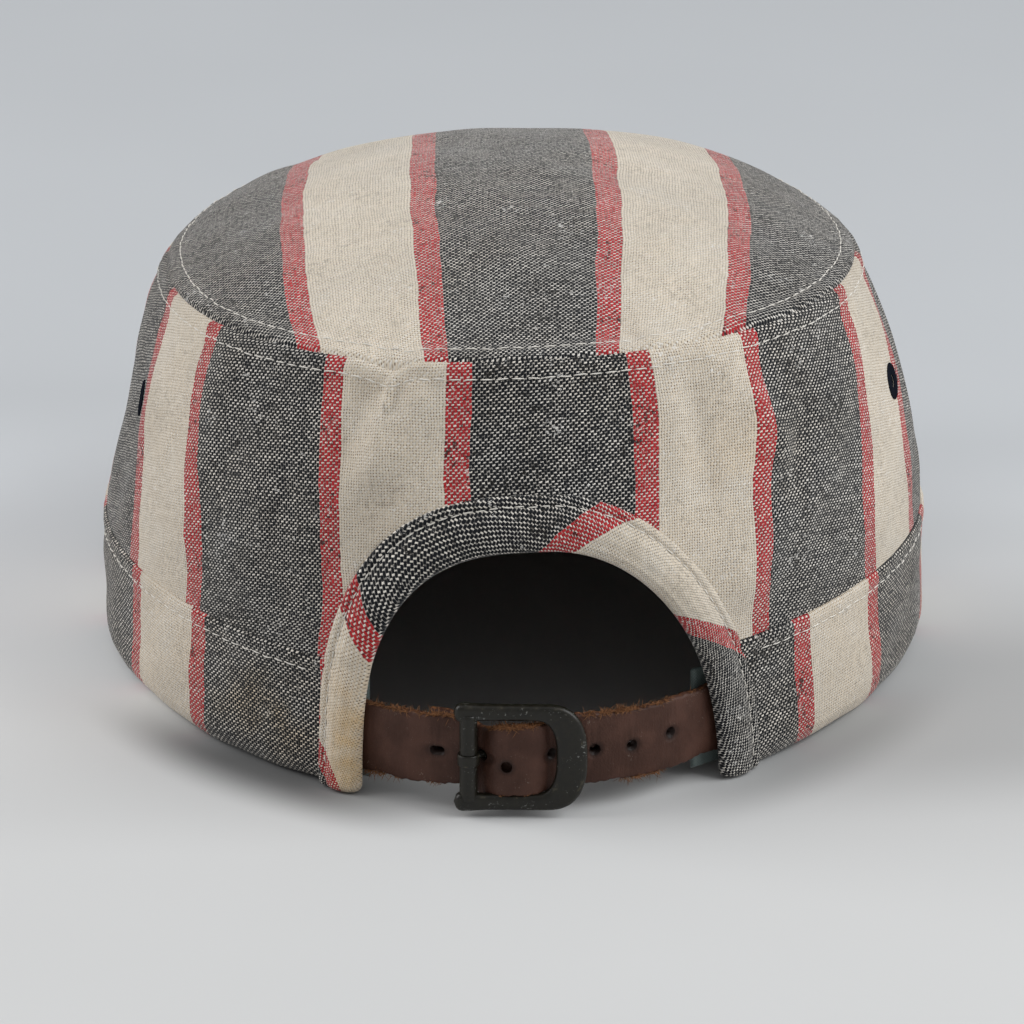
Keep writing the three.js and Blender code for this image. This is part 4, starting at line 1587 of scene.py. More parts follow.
@dataclass
class CrownWall:
    """Striped wall between the band and the top, with the arch cut out at the back."""

    seam: SeamRidge = SeamRidge()
    cone_radius: float = 408.0
    stripe_shift: float = 1.4
    gather_top: float = 0.062
    gather_foot: float = 0.04
    gather_reach: float = 70.0
    right_draw: float = 1.2
    draw_start: Span = (76.0, 114.0)
    draw_end: Span = (150.0, 235.0)
    gather_span: Span = (115.0, 225.0)
    tuck: float = 2.0
    overlap: float = 0.35
    under_binding: float = -1.2
    ripple: float = 0.6
    crumple: float = 0.22
    crumple_scale: Span = (2.3, 2.1)
    calm_top: float = 12.0
    calm_foot: float = 10.0
    crease_fade: float = 2.0
    slope: float = 1.12
    groove: float = 0.3
    groove_degrees: float = 0.4
    gather_drop: float = 17.0
    gather_power: float = 1.3
    gather_rise: float = 22.0
    wander: float = 0.5
    wander_scale: Span = (1.3, 0.7)
    stain: Stain = Stain(0.3, (-33.0, 9.0), (66.0, 9.0), 0.15)
    creases: tuple[Fold, ...] = (
        Fold((21.0, 91), (22.8, 82), 1.25, 1.5),
        Fold((22.8, 82), (24.6, 74), 1.6, 0.55),
        Fold((18.2, 86), (20.2, 77), 3.0, -0.7),
        Fold((-33.0, 80), (-38.0, 66), 2.2, 0.45),
        Fold((62.0, 70), (66.0, 52), 2.6, 0.5),
        Fold((38.0, 62), (42.0, 44), 2.6, -0.4),
    )
    arch_columns: int = 150
    side_columns: int = 190
    loop: StripLoop = StripLoop(84, 28, 3)
    stitch_drop: float = 3.0
    stitch_start: float = 0.9
    stitch_steps: int = 1200

    def place(self, degrees: Array, height: Array, offset: Array | float) -> Array:
        """Point of the wall: folded cloth moved out by seam relief, ripples and an offset.

        Args:
            degrees: Angles from the back centre.
            height: Heights over the floor.
            offset: Distance out from the face.

        Returns:
            Points, in the shape of the input with 3 added.
        """
        along = wrap_degrees(degrees) * MM_PER_DEGREE
        drop = FORM.seam_height(degrees) - height
        over = height - FORM.band_seam(degrees)
        calm = smoothstep(drop, 0.0, self.calm_top) * smoothstep(over, 0.0, self.calm_foot)
        groove = self.groove * bell(180.0 - np.abs(wrap_degrees(degrees)), self.groove_degrees)
        fine, tall = self.crumple_scale
        soft = self.ripple * cloth_ripple(along, height)
        soft = soft + self.crumple * cloth_ripple(along * fine, height * tall)
        sharp = sum(crease.relief(along, height, MM_PER_DEGREE) for crease in self.creases)
        relief = self.seam.relief(drop * self.slope, along) + calm * soft
        relief = relief + smoothstep(drop, 0.0, self.crease_fade) * sharp
        return FORM.cloth(degrees, height, relief - groove + offset)

    def columns(self) -> tuple[Array, Array]:
        """Angle and foot height of every column, from the front centre round to it again.

        Returns:
            Angles and heights, one for each column.
        """
        first = ARCH_OUTER.turn_at(FORM.seam_beside_arch(-1), -1, self.under_binding)
        last = ARCH_OUTER.turn_at(FORM.seam_beside_arch(1), 1, self.under_binding)
        x, z = ARCH_OUTER.point(np.linspace(first, last, self.arch_columns), self.under_binding)
        arch = FORM.degrees_at(x, z)
        right = np.linspace(-180.0, arch[0], self.side_columns + 1)[:-1]
        left = np.linspace(arch[-1], 180.0, self.side_columns + 1)[1:]
        sides = [FORM.band_seam(part) - self.tuck for part in (right, left)]
        return np.concatenate([right, arch, left]), np.concatenate([sides[0], z, sides[1]])

    def uv(self, degrees: Array, height: Array) -> Array:
        """Developed cone: the girth turned into an angle about an apex, the slant taken off its radius.

        The girth is stretched a little near the top seam and shrunk near the foot, where the cloth is
        gathered at the back and sides. It is drawn toward the back on the right, and wanders by a fraction
        of a millimetre.

        Args:
            degrees: Angles from the back centre.
            height: Heights over the floor.

        Returns:
            Cloth coordinates in millimetres.
        """
        low = FORM.band_seam(degrees)
        top = FORM.seam_height(degrees)
        slant = FORM.slant(degrees, height)
        drop = FORM.slant(degrees, top) - slant
        girth = FORM.girth(degrees, (height - low) / (top - low)) + self.stripe_shift
        near = np.clip(girth, -self.gather_reach, self.gather_reach)
        pull = girth * self.gather_top * np.maximum(1 - drop / self.gather_drop, 0.0) ** self.gather_power
        pull = pull - near * self.gather_foot * np.maximum(1 - slant / self.gather_rise, 0.0) ** 2
        pull = pull * (1 - smoothstep(np.abs(girth), *self.gather_span))
        drawn = smoothstep(-girth, *self.draw_start) * (1 - smoothstep(-girth, *self.draw_end))
        tall, fine = self.wander_scale
        wander = self.wander * cloth_ripple(height * tall, girth * fine)
        girth = girth + pull - self.right_draw * drawn + wander
        radius = self.cone_radius - slant
        return np.stack([radius * np.sin(girth / radius), -radius * np.cos(girth / radius)], axis=-1)

    def build(self, material: Material) -> Piece:
        """Builds the wall as one closed cloth shell.

        Args:
            material: Material of the piece.

        Returns:
            The finished piece.
        """
        degrees, foot = self.columns()
        top = FORM.seam_height(degrees) + self.overlap
        half = CLOTH / 2
        share, side = self.loop.rows(half / FORM.top_height)
        height = foot + share[:, None] * (top - foot)
        angle = np.broadcast_to(degrees, height.shape)
        points = self.place(angle, height, half * (side[:, None] - 1))
        uv = closed_rows(self.uv(angle, height))
        stain = self.stain.mark(angle, height)
        grid = GridMesh(points[:, :-1], uv, True, True, {"stain": stain[:, :-1]})
        piece = settle(grid.build("crown_wall_cloth"), material, Slot.CLOTH, "crown_wall")
        return piece

    def stitch_line(self) -> tuple[Array, Array]:
        """Line of points and normals at the stitches' distance below the top seam.

        Returns:
            Points and normals, (n, 3) each.
        """
        degrees = np.linspace(-180.0, 180.0, self.stitch_steps)
        height = FORM.seam_height(degrees) - self.stitch_drop
        return self.place(degrees, height, 0.0), FORM.skin_normal(degrees, height)


@dataclass
class CrownTop:
    """Striped top panel, a shallow dome."""

    seam: SeamRidge = SeamRidge()
    stripe_turn: float = 0.05
    spread: float = 1.89e-5
    spread_middle: float = 5.0
    ripple: float = 0.45
    calm: float = 12.0
    crease_fade: float = 2.0
    wander: float = 0.4
    dirt: float = 0.12
    creases: tuple[Fold, ...] = (
        Fold((29.4, 80.0), (26.0, 68.5), 1.4, 1.2),
        Fold((26.0, 80.0), (22.5, 73.0), 2.0, -0.5),
        Fold((-22.0, 78.0), (-20.0, 69.0), 2.0, 0.5),
    )
    overlap: float = 0.35
    radius: float = 78.0
    columns: int = 400
    outer_rows: int = 96
    inner_rows: int = 30
    edge_rows: int = 3
    crowding: float = 1.25
    stitch_steps: int = 1200

    def place(self, degrees: Array, share: Array, offset: Array | float) -> Array:
        """Point of the top: the dome moved out by seam relief, ripples and an offset.

        Args:
            degrees: Angles from the back centre.
            share: Shares of the way from middle to seam.
            offset: Distance out from the face.

        Returns:
            Points, in the shape of the input with 3 added.
        """
        base = FORM.top_point(degrees, share)
        inset = (1 - share) * self.radius
        along = wrap_degrees(degrees) * MM_PER_DEGREE
        calm = smoothstep(inset, 0.0, self.calm)
        x, y = base[..., 0], base[..., 1]
        sharp = sum(crease.relief(x, y) for crease in self.creases) * smoothstep(inset, 0.0, self.crease_fade)
        relief = self.seam.relief(inset, along) + self.ripple * calm * cloth_ripple(x, y) + sharp
        return base + FORM.top_normal(degrees, share) * (relief + offset)[..., None]

    def uv(self, points: Array) -> Array:
        """Plan of the panel, with stripes turned a little and pinched in a parabola toward front and back.

        Args:
            points: Points of the panel.

        Returns:
            Cloth coordinates in millimetres.
        """
        x, y = points[..., 0], points[..., 1]
        pinched = 1 - self.spread * (y - self.spread_middle) ** 2
        across = (x - self.stripe_turn * y) / pinched + self.wander * cloth_ripple(y, x)
        return np.stack([across, -y], axis=-1)

    def build(self, material: Material) -> Piece:
        """Builds the top as one closed cloth shell, from its middle over the edge and back inside.

        Args:
            material: Material of the piece.

        Returns:
            The finished piece.
        """
        half = CLOTH / 2
        edge = half / self.radius
        rim = 1 - edge + self.overlap / self.radius
        turn = np.linspace(0.0, np.pi, self.edge_rows + 2)[1:-1]
        out = rim * (1 - (1 - np.linspace(0.0, 1.0, self.outer_rows)) ** self.crowding)
        back = np.linspace(rim, 0.0, self.inner_rows)
        share = np.concatenate([out, rim + edge * np.sin(turn), back])
        side = np.concatenate([np.ones(self.outer_rows), np.cos(turn), -np.ones(self.inner_rows)])
        degrees = np.linspace(-180.0, 180.0, self.columns + 1)
        angle, across = np.broadcast_arrays(degrees, share[:, None])
        points = self.place(angle, across, half * (side[:, None] - 1))
        stain = np.full(angle[:, :-1].shape, self.dirt)
        grid = GridMesh(points[:, :-1], self.uv(points), False, True, {"stain": stain})
        piece = settle(grid.build("crown_top_cloth"), material, Slot.CLOTH, "crown_top")
        return piece

    def stitch_line(self) -> tuple[Array, Array]:
        """Line of points and normals at the stitches' distance inside the seam.

        Returns:
            Points and normals, (n, 3) each.
        """
        degrees = np.linspace(-180.0, 180.0, self.stitch_steps)
        share = np.full_like(degrees, 1 - self.seam.stitch / self.radius)
        return self.place(degrees, share, 0.0), FORM.top_normal(degrees, share)


@dataclass
class Headband:
    """Striped band round the rim, open at the back."""

    thickness: float = 2.0
    proud: float = 0.5
    under_binding: float = -1.2
    left_dark: float = 66.1
    right_dark: float = 539.3
    between: float = 462.0
    lean_places: Numbers = (0.0, 36.0, 70.0, 125.0, 235.0, 288.0, 360.0)
    leans: Numbers = (0.0, 0.2, 1.8, 0.0, 0.0, -3.0, -3.0)
    stitch_drop: float = 3.3
    stitch_span: Span = (0.012, 0.988)
    stitch_steps: int = 1100
    hem: float = 4.6
    hem_rise: float = 0.25
    hem_fall: Span = (-0.5, 1.2)
    hem_groove: float = 0.16
    roll_rise: float = 0.24
    roll_fall: Span = (-0.6, 1.2)
    roll_groove: float = 0.18
    groove_width: float = 0.5
    crinkle: Ripple = Ripple(0.2, (2.9, 4.7, 8.7))
    crinkle_lift: float = 0.8
    crinkle_widths: Span = (2.2, 3.0)
    ripple: float = 0.4
    ripple_span: Span = (2.0, 9.0)
    scallop: Ripple = Ripple(0.35, (17.0, 29.0, 43.0))
    scallop_height: float = 9.0
    wander: float = 0.4
    wander_height: float = 40.0
    girth_steps: int = 1440
    end_reach: float = 500.0
    stain: Stain = Stain(0.8, (42.0, 9.0), (0.45, 0.3), 0.2)
    tuck_under: float = 2.2
    tuck_height: float = 7.0
    columns: int = 420
    loop: StripLoop = StripLoop(44, 10, 4)

    def angle(self, level: Array, share: Array) -> Array:
        """Angle at a share of the way from the left end round the front to the right end.

        Args:
            level: Shares of the way up.
            share: Shares of the way round.

        Returns:
            Angles, 0 to 360.
        """
        ends = []
        for side in (1, -1):
            height = FORM.seam_beside_arch(side) * level
            ends.append(FORM.degrees_at(ARCH_OUTER.x_at(height, side, self.under_binding), height))
        return ends[0] + (ends[1] + 360.0 - ends[0]) * share

    def place(self, degrees: Array, level: Array, offset: Array | float) -> Array:
        """Point of the band: level offset from the skin, with hem, seam roll and slight ripples.

        Args:
            degrees: Angles from the back centre.
            level: Shares of the way up.
            offset: Distance out from the face.

        Returns:
            Points, in the shape of the input with 3 added.
        """
        low = FORM.rim_lift(degrees)
        height = low + (FORM.band_seam(degrees) - low) * level
        up = height - low
        along = degrees * MM_PER_DEGREE
        past_hem = up - self.hem
        hem = self.hem_rise * (1 - smoothstep(past_hem, *self.hem_fall))
        hem = hem - self.hem_groove * bell(past_hem, self.groove_width)
        drop = FORM.band_seam(degrees) - height
        stitched = drop - self.stitch_drop
        roll = self.roll_rise * (1 - smoothstep(stitched, *self.roll_fall))
        roll = roll - self.roll_groove * bell(stitched, self.groove_width)
        near_seam, near_hem = self.crinkle_widths
        gathered = bell(stitched + self.crinkle_lift, near_seam) + bell(past_hem, near_hem) / 2
        crinkle = self.crinkle.at(along) * gathered
        wave = self.ripple * smoothstep(drop, *self.ripple_span) * cloth_ripple(along, up * 2)
        under = self.tuck_under * np.maximum(1 - up / self.tuck_height, 0.0) ** 2
        out = self.proud + hem + roll + crinkle + wave + offset - under
        rise = (self.scallop.size + self.scallop.at(along)) * (1 - smoothstep(up, 0.0, self.scallop_height))
        points = FORM.skin(degrees, height) + FORM.flat_normal(degrees) * out[..., None]
        return points + rise[..., None] * UP

    def uv(self, degrees: Array, level: Array) -> Array:
        """Length round the rim, eased so that whole repeats lie between a dark stripe on each side.

        Stripes lean toward the back with height, by the lean at each angle.

        Args:
            degrees: Angles from the back centre.
            level: Shares of the way up.

        Returns:
            Cloth coordinates in millimetres.
        """
        fine = np.linspace(0.0, 360.0, self.girth_steps + 1)
        run = path_lengths(FORM.skin(fine, FORM.band_seam(fine)))
        along = np.interp(degrees, fine, run) - self.left_dark
        along = along * self.between / (self.right_dark - self.left_dark)
        along = along + level * eased_table(self.lean_places, self.leans, degrees)
        rise = level * (FORM.band_seam(degrees) - FORM.rim_lift(degrees))
        along = along + self.wander * cloth_ripple(along, level * self.wander_height)
        return np.stack([along, rise], axis=-1)

    def build(self, material: Material) -> Piece:
        """Builds the band as one closed strip whose ends are pinched shut under the binding.

        Args:
            material: Material of the piece.

        Returns:
            The finished piece.
        """
        half = self.thickness / 2
        level, side = self.loop.rows(half / FORM.band_height)
        share = np.linspace(0.0, 1.0, self.columns)
        across, along = np.broadcast_arrays(level[:, None], share)
        degrees = self.angle(across, along)
        thick = pinch(np.minimum(along, 1 - along) * self.end_reach, half)
        points = self.place(degrees, across, half * (side[:, None] * thick - 1))
        stain = self.stain.mark(degrees, across)
        grid = GridMesh(points, closed_rows(self.uv(degrees, across)), True, False, {"stain": stain})
        piece = settle(grid.build("headband_cloth"), material, Slot.CLOTH, "headband")
        return piece

    def stitch_line(self) -> tuple[Array, Array]:
        """Line of points and normals round the band at the stitches' distance below its seam.

        Returns:
            Points and normals, (n, 3) each.
        """
        degrees = self.angle(np.ones(self.stitch_steps), np.linspace(*self.stitch_span, self.stitch_steps))
        levels = 1 - self.stitch_drop / (FORM.band_seam(degrees) - FORM.rim_lift(degrees))
        return self.place(degrees, levels, 0.0), FORM.flat_normal(degrees)


@dataclass
class OpeningBinding:
    """Bias strip rolled over the edge of the arch, from rim to rim."""

    bias: float = 44.3
    dark_middle: float = 66.1
    lean_places: Numbers = (0.0, 12.0, 38.0, 94.0, 133.0, 172.0)
    leans: Numbers = (1.8, 1.4, 0.58, 1.3, 1.8, 1.6)
    thickness: float = 1.5
    foot_round: float = 2.8
    foot_inner: float = 0.26
    foot_outer: float = 0.10
    width: float = 9.0
    columns: int = 260
    face_shares: Numbers = (-0.02, 0.05, 0.18, 0.42, 0.60, 0.75, 0.84, 0.92, 1.0, 1.05)
    face_heights: Numbers = (-0.45, 0.90, 1.55, 1.90, 1.75, 1.20, 0.60, 0.85, 0.72, 0.2)
    back_shares: Span = (1.02, 0.03)
    face_rows: int = 40
    back_rows: int = 16
    back_square: int = 6
    back_gap: float = 0.5
    end_round: float = 1.2
    floor_gap: float = 0.05
    seam_blend: float = 5.0
    bumps: Ripple = Ripple(0.13, (4.7, 7.3, 10.9))
    bump_in: Span = (0.1, 0.5)
    bump_out: Span = (0.9, 1.0)
    stain: Stain = Stain(1.3, (12.0, 18.0), (0.25, 0.45), 0.15)
    stitch_row: int = 6
    stitch_turns: Span = (0.03, 1.97)
    stitch_steps: int = 700

    def place(self, turn: Array, share: Array, offset: Array) -> tuple[Array, Array]:
        """Point and normal on the band or wall at a share of the way from the open edge to the outer edge.

        Args:
            turn: Turns from 0 to 2.
            share: Shares of the way across.
            offset: Distance out from the face.

        Returns:
            Points and normals.
        """
        inner_x, inner_z = ARCH_INNER.point(turn)
        outer_x, outer_z = ARCH_OUTER.point(turn)
        x = inner_x + (outer_x - inner_x) * share
        z = inner_z + (outer_z - inner_z) * share
        degrees = FORM.degrees_at(x, z)
        blend = smoothstep(z - FORM.band_height, -self.seam_blend, self.seam_blend)[..., None]
        normal = unit(FORM.flat_normal(degrees) * (1 - blend) + FORM.skin_normal(degrees, z) * blend)
        return FORM.skin(degrees, z) + normal * offset[..., None], normal

    def face(self, share: Array, along: Array) -> Array:
        """Height of the rolled face, with faint bumps where the cloth is gathered round the curve.

        Args:
            share: Shares of the way across.
            along: Lengths along the strip.

        Returns:
            Heights over the cloth below.
        """
        bumps = self.bumps.at(along) * smoothstep(share, *self.bump_in)
        bumps = bumps * (1 - smoothstep(share, *self.bump_out))
        return eased_table(self.face_shares, self.face_heights, share) + bumps

    def uv(self, across: Array, from_left: Array) -> Array:
        """Cloth cut on the bias: warp lines lean over the strip, and weft lines cross them squarely.

        Along the strip U is minus the length times the sine of the bias; across it U grows by the lean.
        V is the running sum of the lean along the strip plus the width, times the cosine of the bias.

        Args:
            across: Share of the way from the open edge to the outer edge, (rows, columns).
            from_left: Length from the left foot of each column, falling.

        Returns:
            Cloth coordinates, (rows, columns, 2).
        """
        turned = math.radians(self.bias)
        width = (across - 0.5) * self.width
        lean = eased_table(self.lean_places, self.leans, from_left)
        sheared = np.concatenate([[0.0], np.cumsum((lean[1:] + lean[:-1]) / 2 * -np.diff(from_left))])
        u = (self.dark_middle + width * lean - from_left) * math.sin(turned)
        return np.stack([u, (width - sheared) * math.cos(turned)], -1)

    def build(self, material: Material) -> Piece:
        """Builds the rolled strip as one closed tube with pinched ends.

        Args:
            material: Material of the piece.

        Returns:
            The finished piece.
        """
        turn = 2 * np.linspace(0.0, 1.0, self.columns)
        out = np.linspace(self.face_shares[0], self.face_shares[-1], self.face_rows)
        share = np.concatenate([out, np.linspace(*self.back_shares, self.back_rows)])
        across, along = np.broadcast_arrays(share[:, None], turn)
        middle, _ = self.place(turn, np.full_like(turn, 0.5), np.zeros_like(turn))
        run = path_lengths(middle)
        length = np.broadcast_to(run, across.shape)
        front = np.arange(len(share))[:, None] < self.face_rows
        back = -self.thickness * (1 - (2 * np.clip(across, 0, 1) - 1) ** self.back_square) - self.back_gap
        from_foot = np.minimum(length, run[-1] - length)
        thick = pinch(from_foot, self.end_round)
        offset = np.where(front, self.face(across, length), back)
        cut_back = 1 - pinch(from_foot, self.foot_round)
        rounded = across + cut_back * (self.foot_inner * (1 - across) - self.foot_outer * across)
        points, _ = self.place(along, rounded, offset * thick - self.back_gap * (1 - thick))
        points[..., 2] = np.maximum(points[..., 2], self.floor_gap)
        stain = self.stain.mark(run[-1] - length, across)
        grid = GridMesh(points, closed_rows(self.uv(across, run[-1] - run)), True, False, {"stain": stain})
        piece = settle(grid.build("opening_binding_cloth"), material, Slot.CLOTH, "opening_binding")
        return piece

    def stitch_line(self) -> tuple[Array, Array]:
        """Line of points and normals along the binding's stitch row.

        Returns:
            Points and normals, (n, 3) each.
        """
        turn = np.linspace(*self.stitch_turns, self.stitch_steps)
        share = np.full_like(turn, self.face_shares[self.stitch_row])
        height = np.full_like(turn, self.face_heights[self.stitch_row])
        return self.place(turn, share, height)


@dataclass
class Peak:
    """Stiff cloth-covered peak at the front."""

    half_span: float = 60.0
    reach: float = 56.0
    thickness: float = 3.0
    root_rise: float = 2.1
    edge_rise: float = -1.5
    camber: float = 2.0
    power: float = 2.0
    fullness: float = 0.72
    radial_share: float = 0.2
    corner_reach: float = 1.6
    columns: int = 240
    loop: StripLoop = StripLoop(60, 60, 6)
    corner_round: float = 3.0
    half_arc: float = 90.0
    ripple: float = 0.15
    ripple_size: Span = (70.0, 50.0)
    floor_gap: float = 0.2
    dirt: float = 0.15
    stitch_insets: Numbers = (4.0, 8.5)
    stitch_span: float = 0.97
    stitch_steps: int = 800
    stitch_start: float = 0.05

    def outline(self, across: Array) -> tuple[Array, Array]:
        """Fullness, (1 - |across|^power)^fullness, and the reach of the peak that follows from it."""
        full = np.clip(1 - np.abs(across) ** self.power, 0.0, 1.0) ** self.fullness
        return full, self.corner_reach + (self.reach - self.corner_reach) * full

    def place(self, across: Array, row: Array, offset: Array | float) -> Array:
        """Point from the band (row 0) to the peak's edge (row 1): the root carried ahead by the outline.

        Args:
            across: From -1 to 1.
            row: From 0 to 1.
            offset: Height over the middle face.

        Returns:
            Points, in the shape of the input with 3 added.
        """
        degrees = 180.0 + across * self.half_span
        normal = FORM.flat_normal(degrees)
        height = FORM.rim_lift(degrees) + self.root_rise
        root = FORM.skin(degrees, height)
        ahead = unit(np.array([0.0, -1.0, 0.0]) * (1 - self.radial_share) + normal * self.radial_share)
        full, reach = self.outline(across)
        rise = row * self.edge_rise * (1 - across**2) + self.camber * np.sin(np.pi * row) * full
        points = root + ahead * (reach * row)[..., None]
        points[..., 2] = height + rise + offset
        return points

    def build(self, material: Material) -> Piece:
        """Builds the peak as one closed shell with a rounded edge and pinched corners.

        The cloth lies flat in plan and is carried on outward as it turns over the edge.

        Args:
            material: Material of the piece.

        Returns:
            The finished piece.
        """
        half = self.thickness / 2
        row, side = self.loop.rows(half / self.reach)
        across = np.sin(np.linspace(-np.pi / 2, np.pi / 2, self.columns))
        down, along = np.broadcast_arrays(row[:, None], across)
        thick = pinch((1 - np.abs(along)) * self.half_arc, self.corner_round)
        soft = self.ripple * cloth_ripple(along * self.ripple_size[0], down * self.ripple_size[1])
        points = self.place(along, down, half * side[:, None] * thick + soft)
        points[..., 2] = np.maximum(points[..., 2], self.floor_gap)
        rim = self.place(across, np.ones_like(across), 0.0)
        outward = unit(np.cross(np.gradient(rim, axis=0), UP))[:, :2]
        outward = outward * np.sign(-outward[self.columns // 2, 1])
        over = half * (1 - side)
        flat = points[..., :2] + over[:, None, None] * outward
        uv = closed_rows(flat * np.array([1.0, -1.0]))
        grid = GridMesh(points, uv, True, False, {"stain": np.full(down.shape, self.dirt)})
        piece = settle(grid.build("peak_cloth"), material, Slot.CLOTH, "peak")
        return piece

    def stitch_line(self, inset: float) -> tuple[Array, Array]:
        """Line of points and normals along the peak's edge, a distance inside it.

        Args:
            inset: Distance from the edge.

        Returns:
            Points and normals, (n, 3) each.
        """
        across = np.linspace(-self.stitch_span, self.stitch_span, self.stitch_steps)
        row = np.clip(1 - inset / self.outline(across)[1], 0.0, 1.0)
        points = self.place(across, row, self.thickness / 2)
        ahead = row > self.stitch_start
        return points[ahead], np.broadcast_to(UP, points.shape)[ahead]


@dataclass
class Sweatband:
    """Thin satin tape inside the rim, whose ends show beside the straps."""

    thickness: float = 1.0
    bottom: float = 2.0
    top: float = 23.5
    end_left: float = 37.5
    end_right: float = 33.0
    ease: float = 16.0
    shallow: float = -1.8
    deep: float = -4.4
    centre: float = 13.0
    edge_radius: float = 0.5
    ripple: Ripple = Ripple(0.12, (9.0, 14.0, 31.0))
    columns: int = 360
    loop: StripLoop = StripLoop(26, 26, 3)

    def build(self, material: Material) -> Piece:
        """Builds the tape as one closed strip that goes deeper near its ends, to pass behind the straps.

        Args:
            material: Material of the piece.

        Returns:
            The finished piece.
        """
        ends = FORM.degrees_at(np.array([self.end_left, -self.end_right]), np.full(2, self.centre))
        left, right = ends[0], ends[1] + 360.0
        level, side = self.loop.rows(self.edge_radius / (self.top - self.bottom))
        across, degrees = np.broadcast_arrays(level[:, None], np.linspace(left, right, self.columns))
        from_end = np.minimum(degrees - left, right - degrees)
        ease = smoothstep(from_end, self.ease / 2, self.ease)
        thick = pinch(from_end * MM_PER_DEGREE, self.edge_radius)
        along = degrees * MM_PER_DEGREE
        depth = self.deep + (self.shallow - self.deep) * ease
        depth = depth - self.ripple.size - self.ripple.at(along)
        depth = depth + self.thickness / 2 * (side[:, None] * thick - 1)
        height = self.bottom + (self.top - self.bottom) * across + FORM.rim_lift(degrees)
        points = FORM.skin(degrees, height) + FORM.flat_normal(degrees) * depth[..., None]
        uv = closed_rows(np.stack([along, height], -1))
        grid = GridMesh(points, uv, True)
        piece = settle(grid.build("sweatband_tape"), material, Slot.SWEATBAND, "sweatband")
        return piece


@dataclass(frozen=True)
class Station:
    """Place on a strap's line: plan X, distance out from the rim's line, and height."""

    x: float
    off: float
    z: float


@dataclass(frozen=True)
class Hole:
    """Punched hole: plan X, height, diameter and, for a slot, length."""

    x: float
    z: float
    diameter: float = 2.4
    length: float = 0.0


@dataclass(frozen=True)
class FibrePatch:
    """Stretch of raw edge with loose fibres: plan X range, upper or lower edge, count and mean length."""

    start: float
    end: float
    upper: bool
    count: int
    length: float


@dataclass(frozen=True)
class HoleWear:
    """Wear round punched holes: sunken lips, and fine stress creases that run up and down from them, both
    darkened with painted shade.
    """

    lip_width: float = 0.5
    lip_depth: float = 0.25
    lip_shade: float = 0.55
    crease_width: float = 0.17
    crease_depth: float = 0.07
    crease_shade: float = 0.14
    shifts_and_leans: tuple[Span, ...] = ((-0.85, 0.02), (-0.2, -0.05), (0.55, 0.06))
    start: Span = (0.6, 1.6)
    top: Span = (4.0, 7.0)
    foot: Span = (2.5, 5.0)
    below: float = 0.6

    def marks(self, holes: tuple[Hole, ...], x: Array, z: Array) -> tuple[Array, Array]:
        """Depth of the wear, and the painted shade in its lips and creases.

        Args:
            holes: Holes of the strap.
            x: Plan X of each point.
            z: Height of each point.

        Returns:
            Millimetres that each point is sunk by, and its painted shade from nought to one.
        """
        lips, creases = np.zeros_like(x), np.zeros_like(x)
        for hole in holes:
            reach = max(hole.length, hole.diameter) / 2
            away = np.hypot((x - hole.x) * hole.diameter / 2 / reach, z - hole.z) - hole.diameter / 2
            lips = lips + bell(np.maximum(away, 0.0), self.lip_width)
            rise = z - hole.z
            above = smoothstep(rise, *self.start) * (1 - smoothstep(rise, *self.top))
            below = smoothstep(-rise, *self.start) * (1 - smoothstep(-rise, *self.foot))
            fade = above + self.below * below
            for shift, lean in self.shifts_and_leans:
                creases = creases + fade * bell(x - hole.x - shift - lean * rise, self.crease_width)
        # Painted shade in the sunken lips and the creases.
        recess_shade = self.lip_shade * lips + self.crease_shade * creases
        return self.lip_depth * lips + self.crease_depth * creases, np.clip(recess_shade, 0.0, 1.0)


@dataclass(frozen=True)
class LooseFibre:
    """Loose fibres of a raw edge: thin curled tubes that stand in tufts."""

    tuft: int = 28
    spread: float = 0.55
    inset: float = 0.15
    depths: Span = (-0.8, 0.7)
    gamma: Span = (5.0, 0.17)
    rise: float = 0.8
    out: float = 0.25
    bend: float = 1.8
    curl: float = 0.6
    floor: float = 0.3
    radius: float = 0.065
    taper: Numbers = (0.0, 1.0, 0.9, 0.7, 0.0)
    sides: int = 4

    def rings(
        self, patch: FibrePatch, line: Array, normals: Array, half: float, draw: np.random.Generator
    ) -> Array:
        """Rings of the fibres of one patch.

        Args:
            patch: Stretch of the edge.
            line: Middle line of the strap, (n, 3).
            normals: Its outward normals, (n, 3).
            half: Half of the strap's width.
            draw: Source of random numbers.

        Returns:
            Ring points, (fibres, rings, sides, 3).
        """
        count = patch.count
        tufts = draw.uniform(patch.start, patch.end, max(count // self.tuft, 1))
        x = tufts[draw.integers(0, len(tufts), count)] + draw.normal(0.0, self.spread, count)
        root = at_plan_x(line, line, x)
        normal = unit(at_plan_x(line, normals, x))
        sign = 1.0 if patch.upper else -1.0
        root[:, 2] += sign * (half - self.inset)
        root += normal * draw.uniform(*self.depths, (count, 1))
        length = patch.length * draw.gamma(*self.gamma, (count, 1))
        heading = self.rise * sign * UP + draw.normal(0.0, 1.0, (count, 3)) + self.out * normal
        bend = draw.normal(0.0, self.bend, (count, 3)) * self.curl
        t = np.linspace(0.0, 1.0, len(self.taper))[None, :, None]
        centre = root[:, None] + length[:, None] * (unit(heading)[:, None] * t + bend[:, None] * t**2)
        centre[..., 2] = np.maximum(centre[..., 2], self.floor)
        radius = np.broadcast_to(self.radius * np.array(self.taper), centre.shape[:2])
        return sweep(centre, np.broadcast_to(normal[:, None], centre.shape), radius, self.sides)


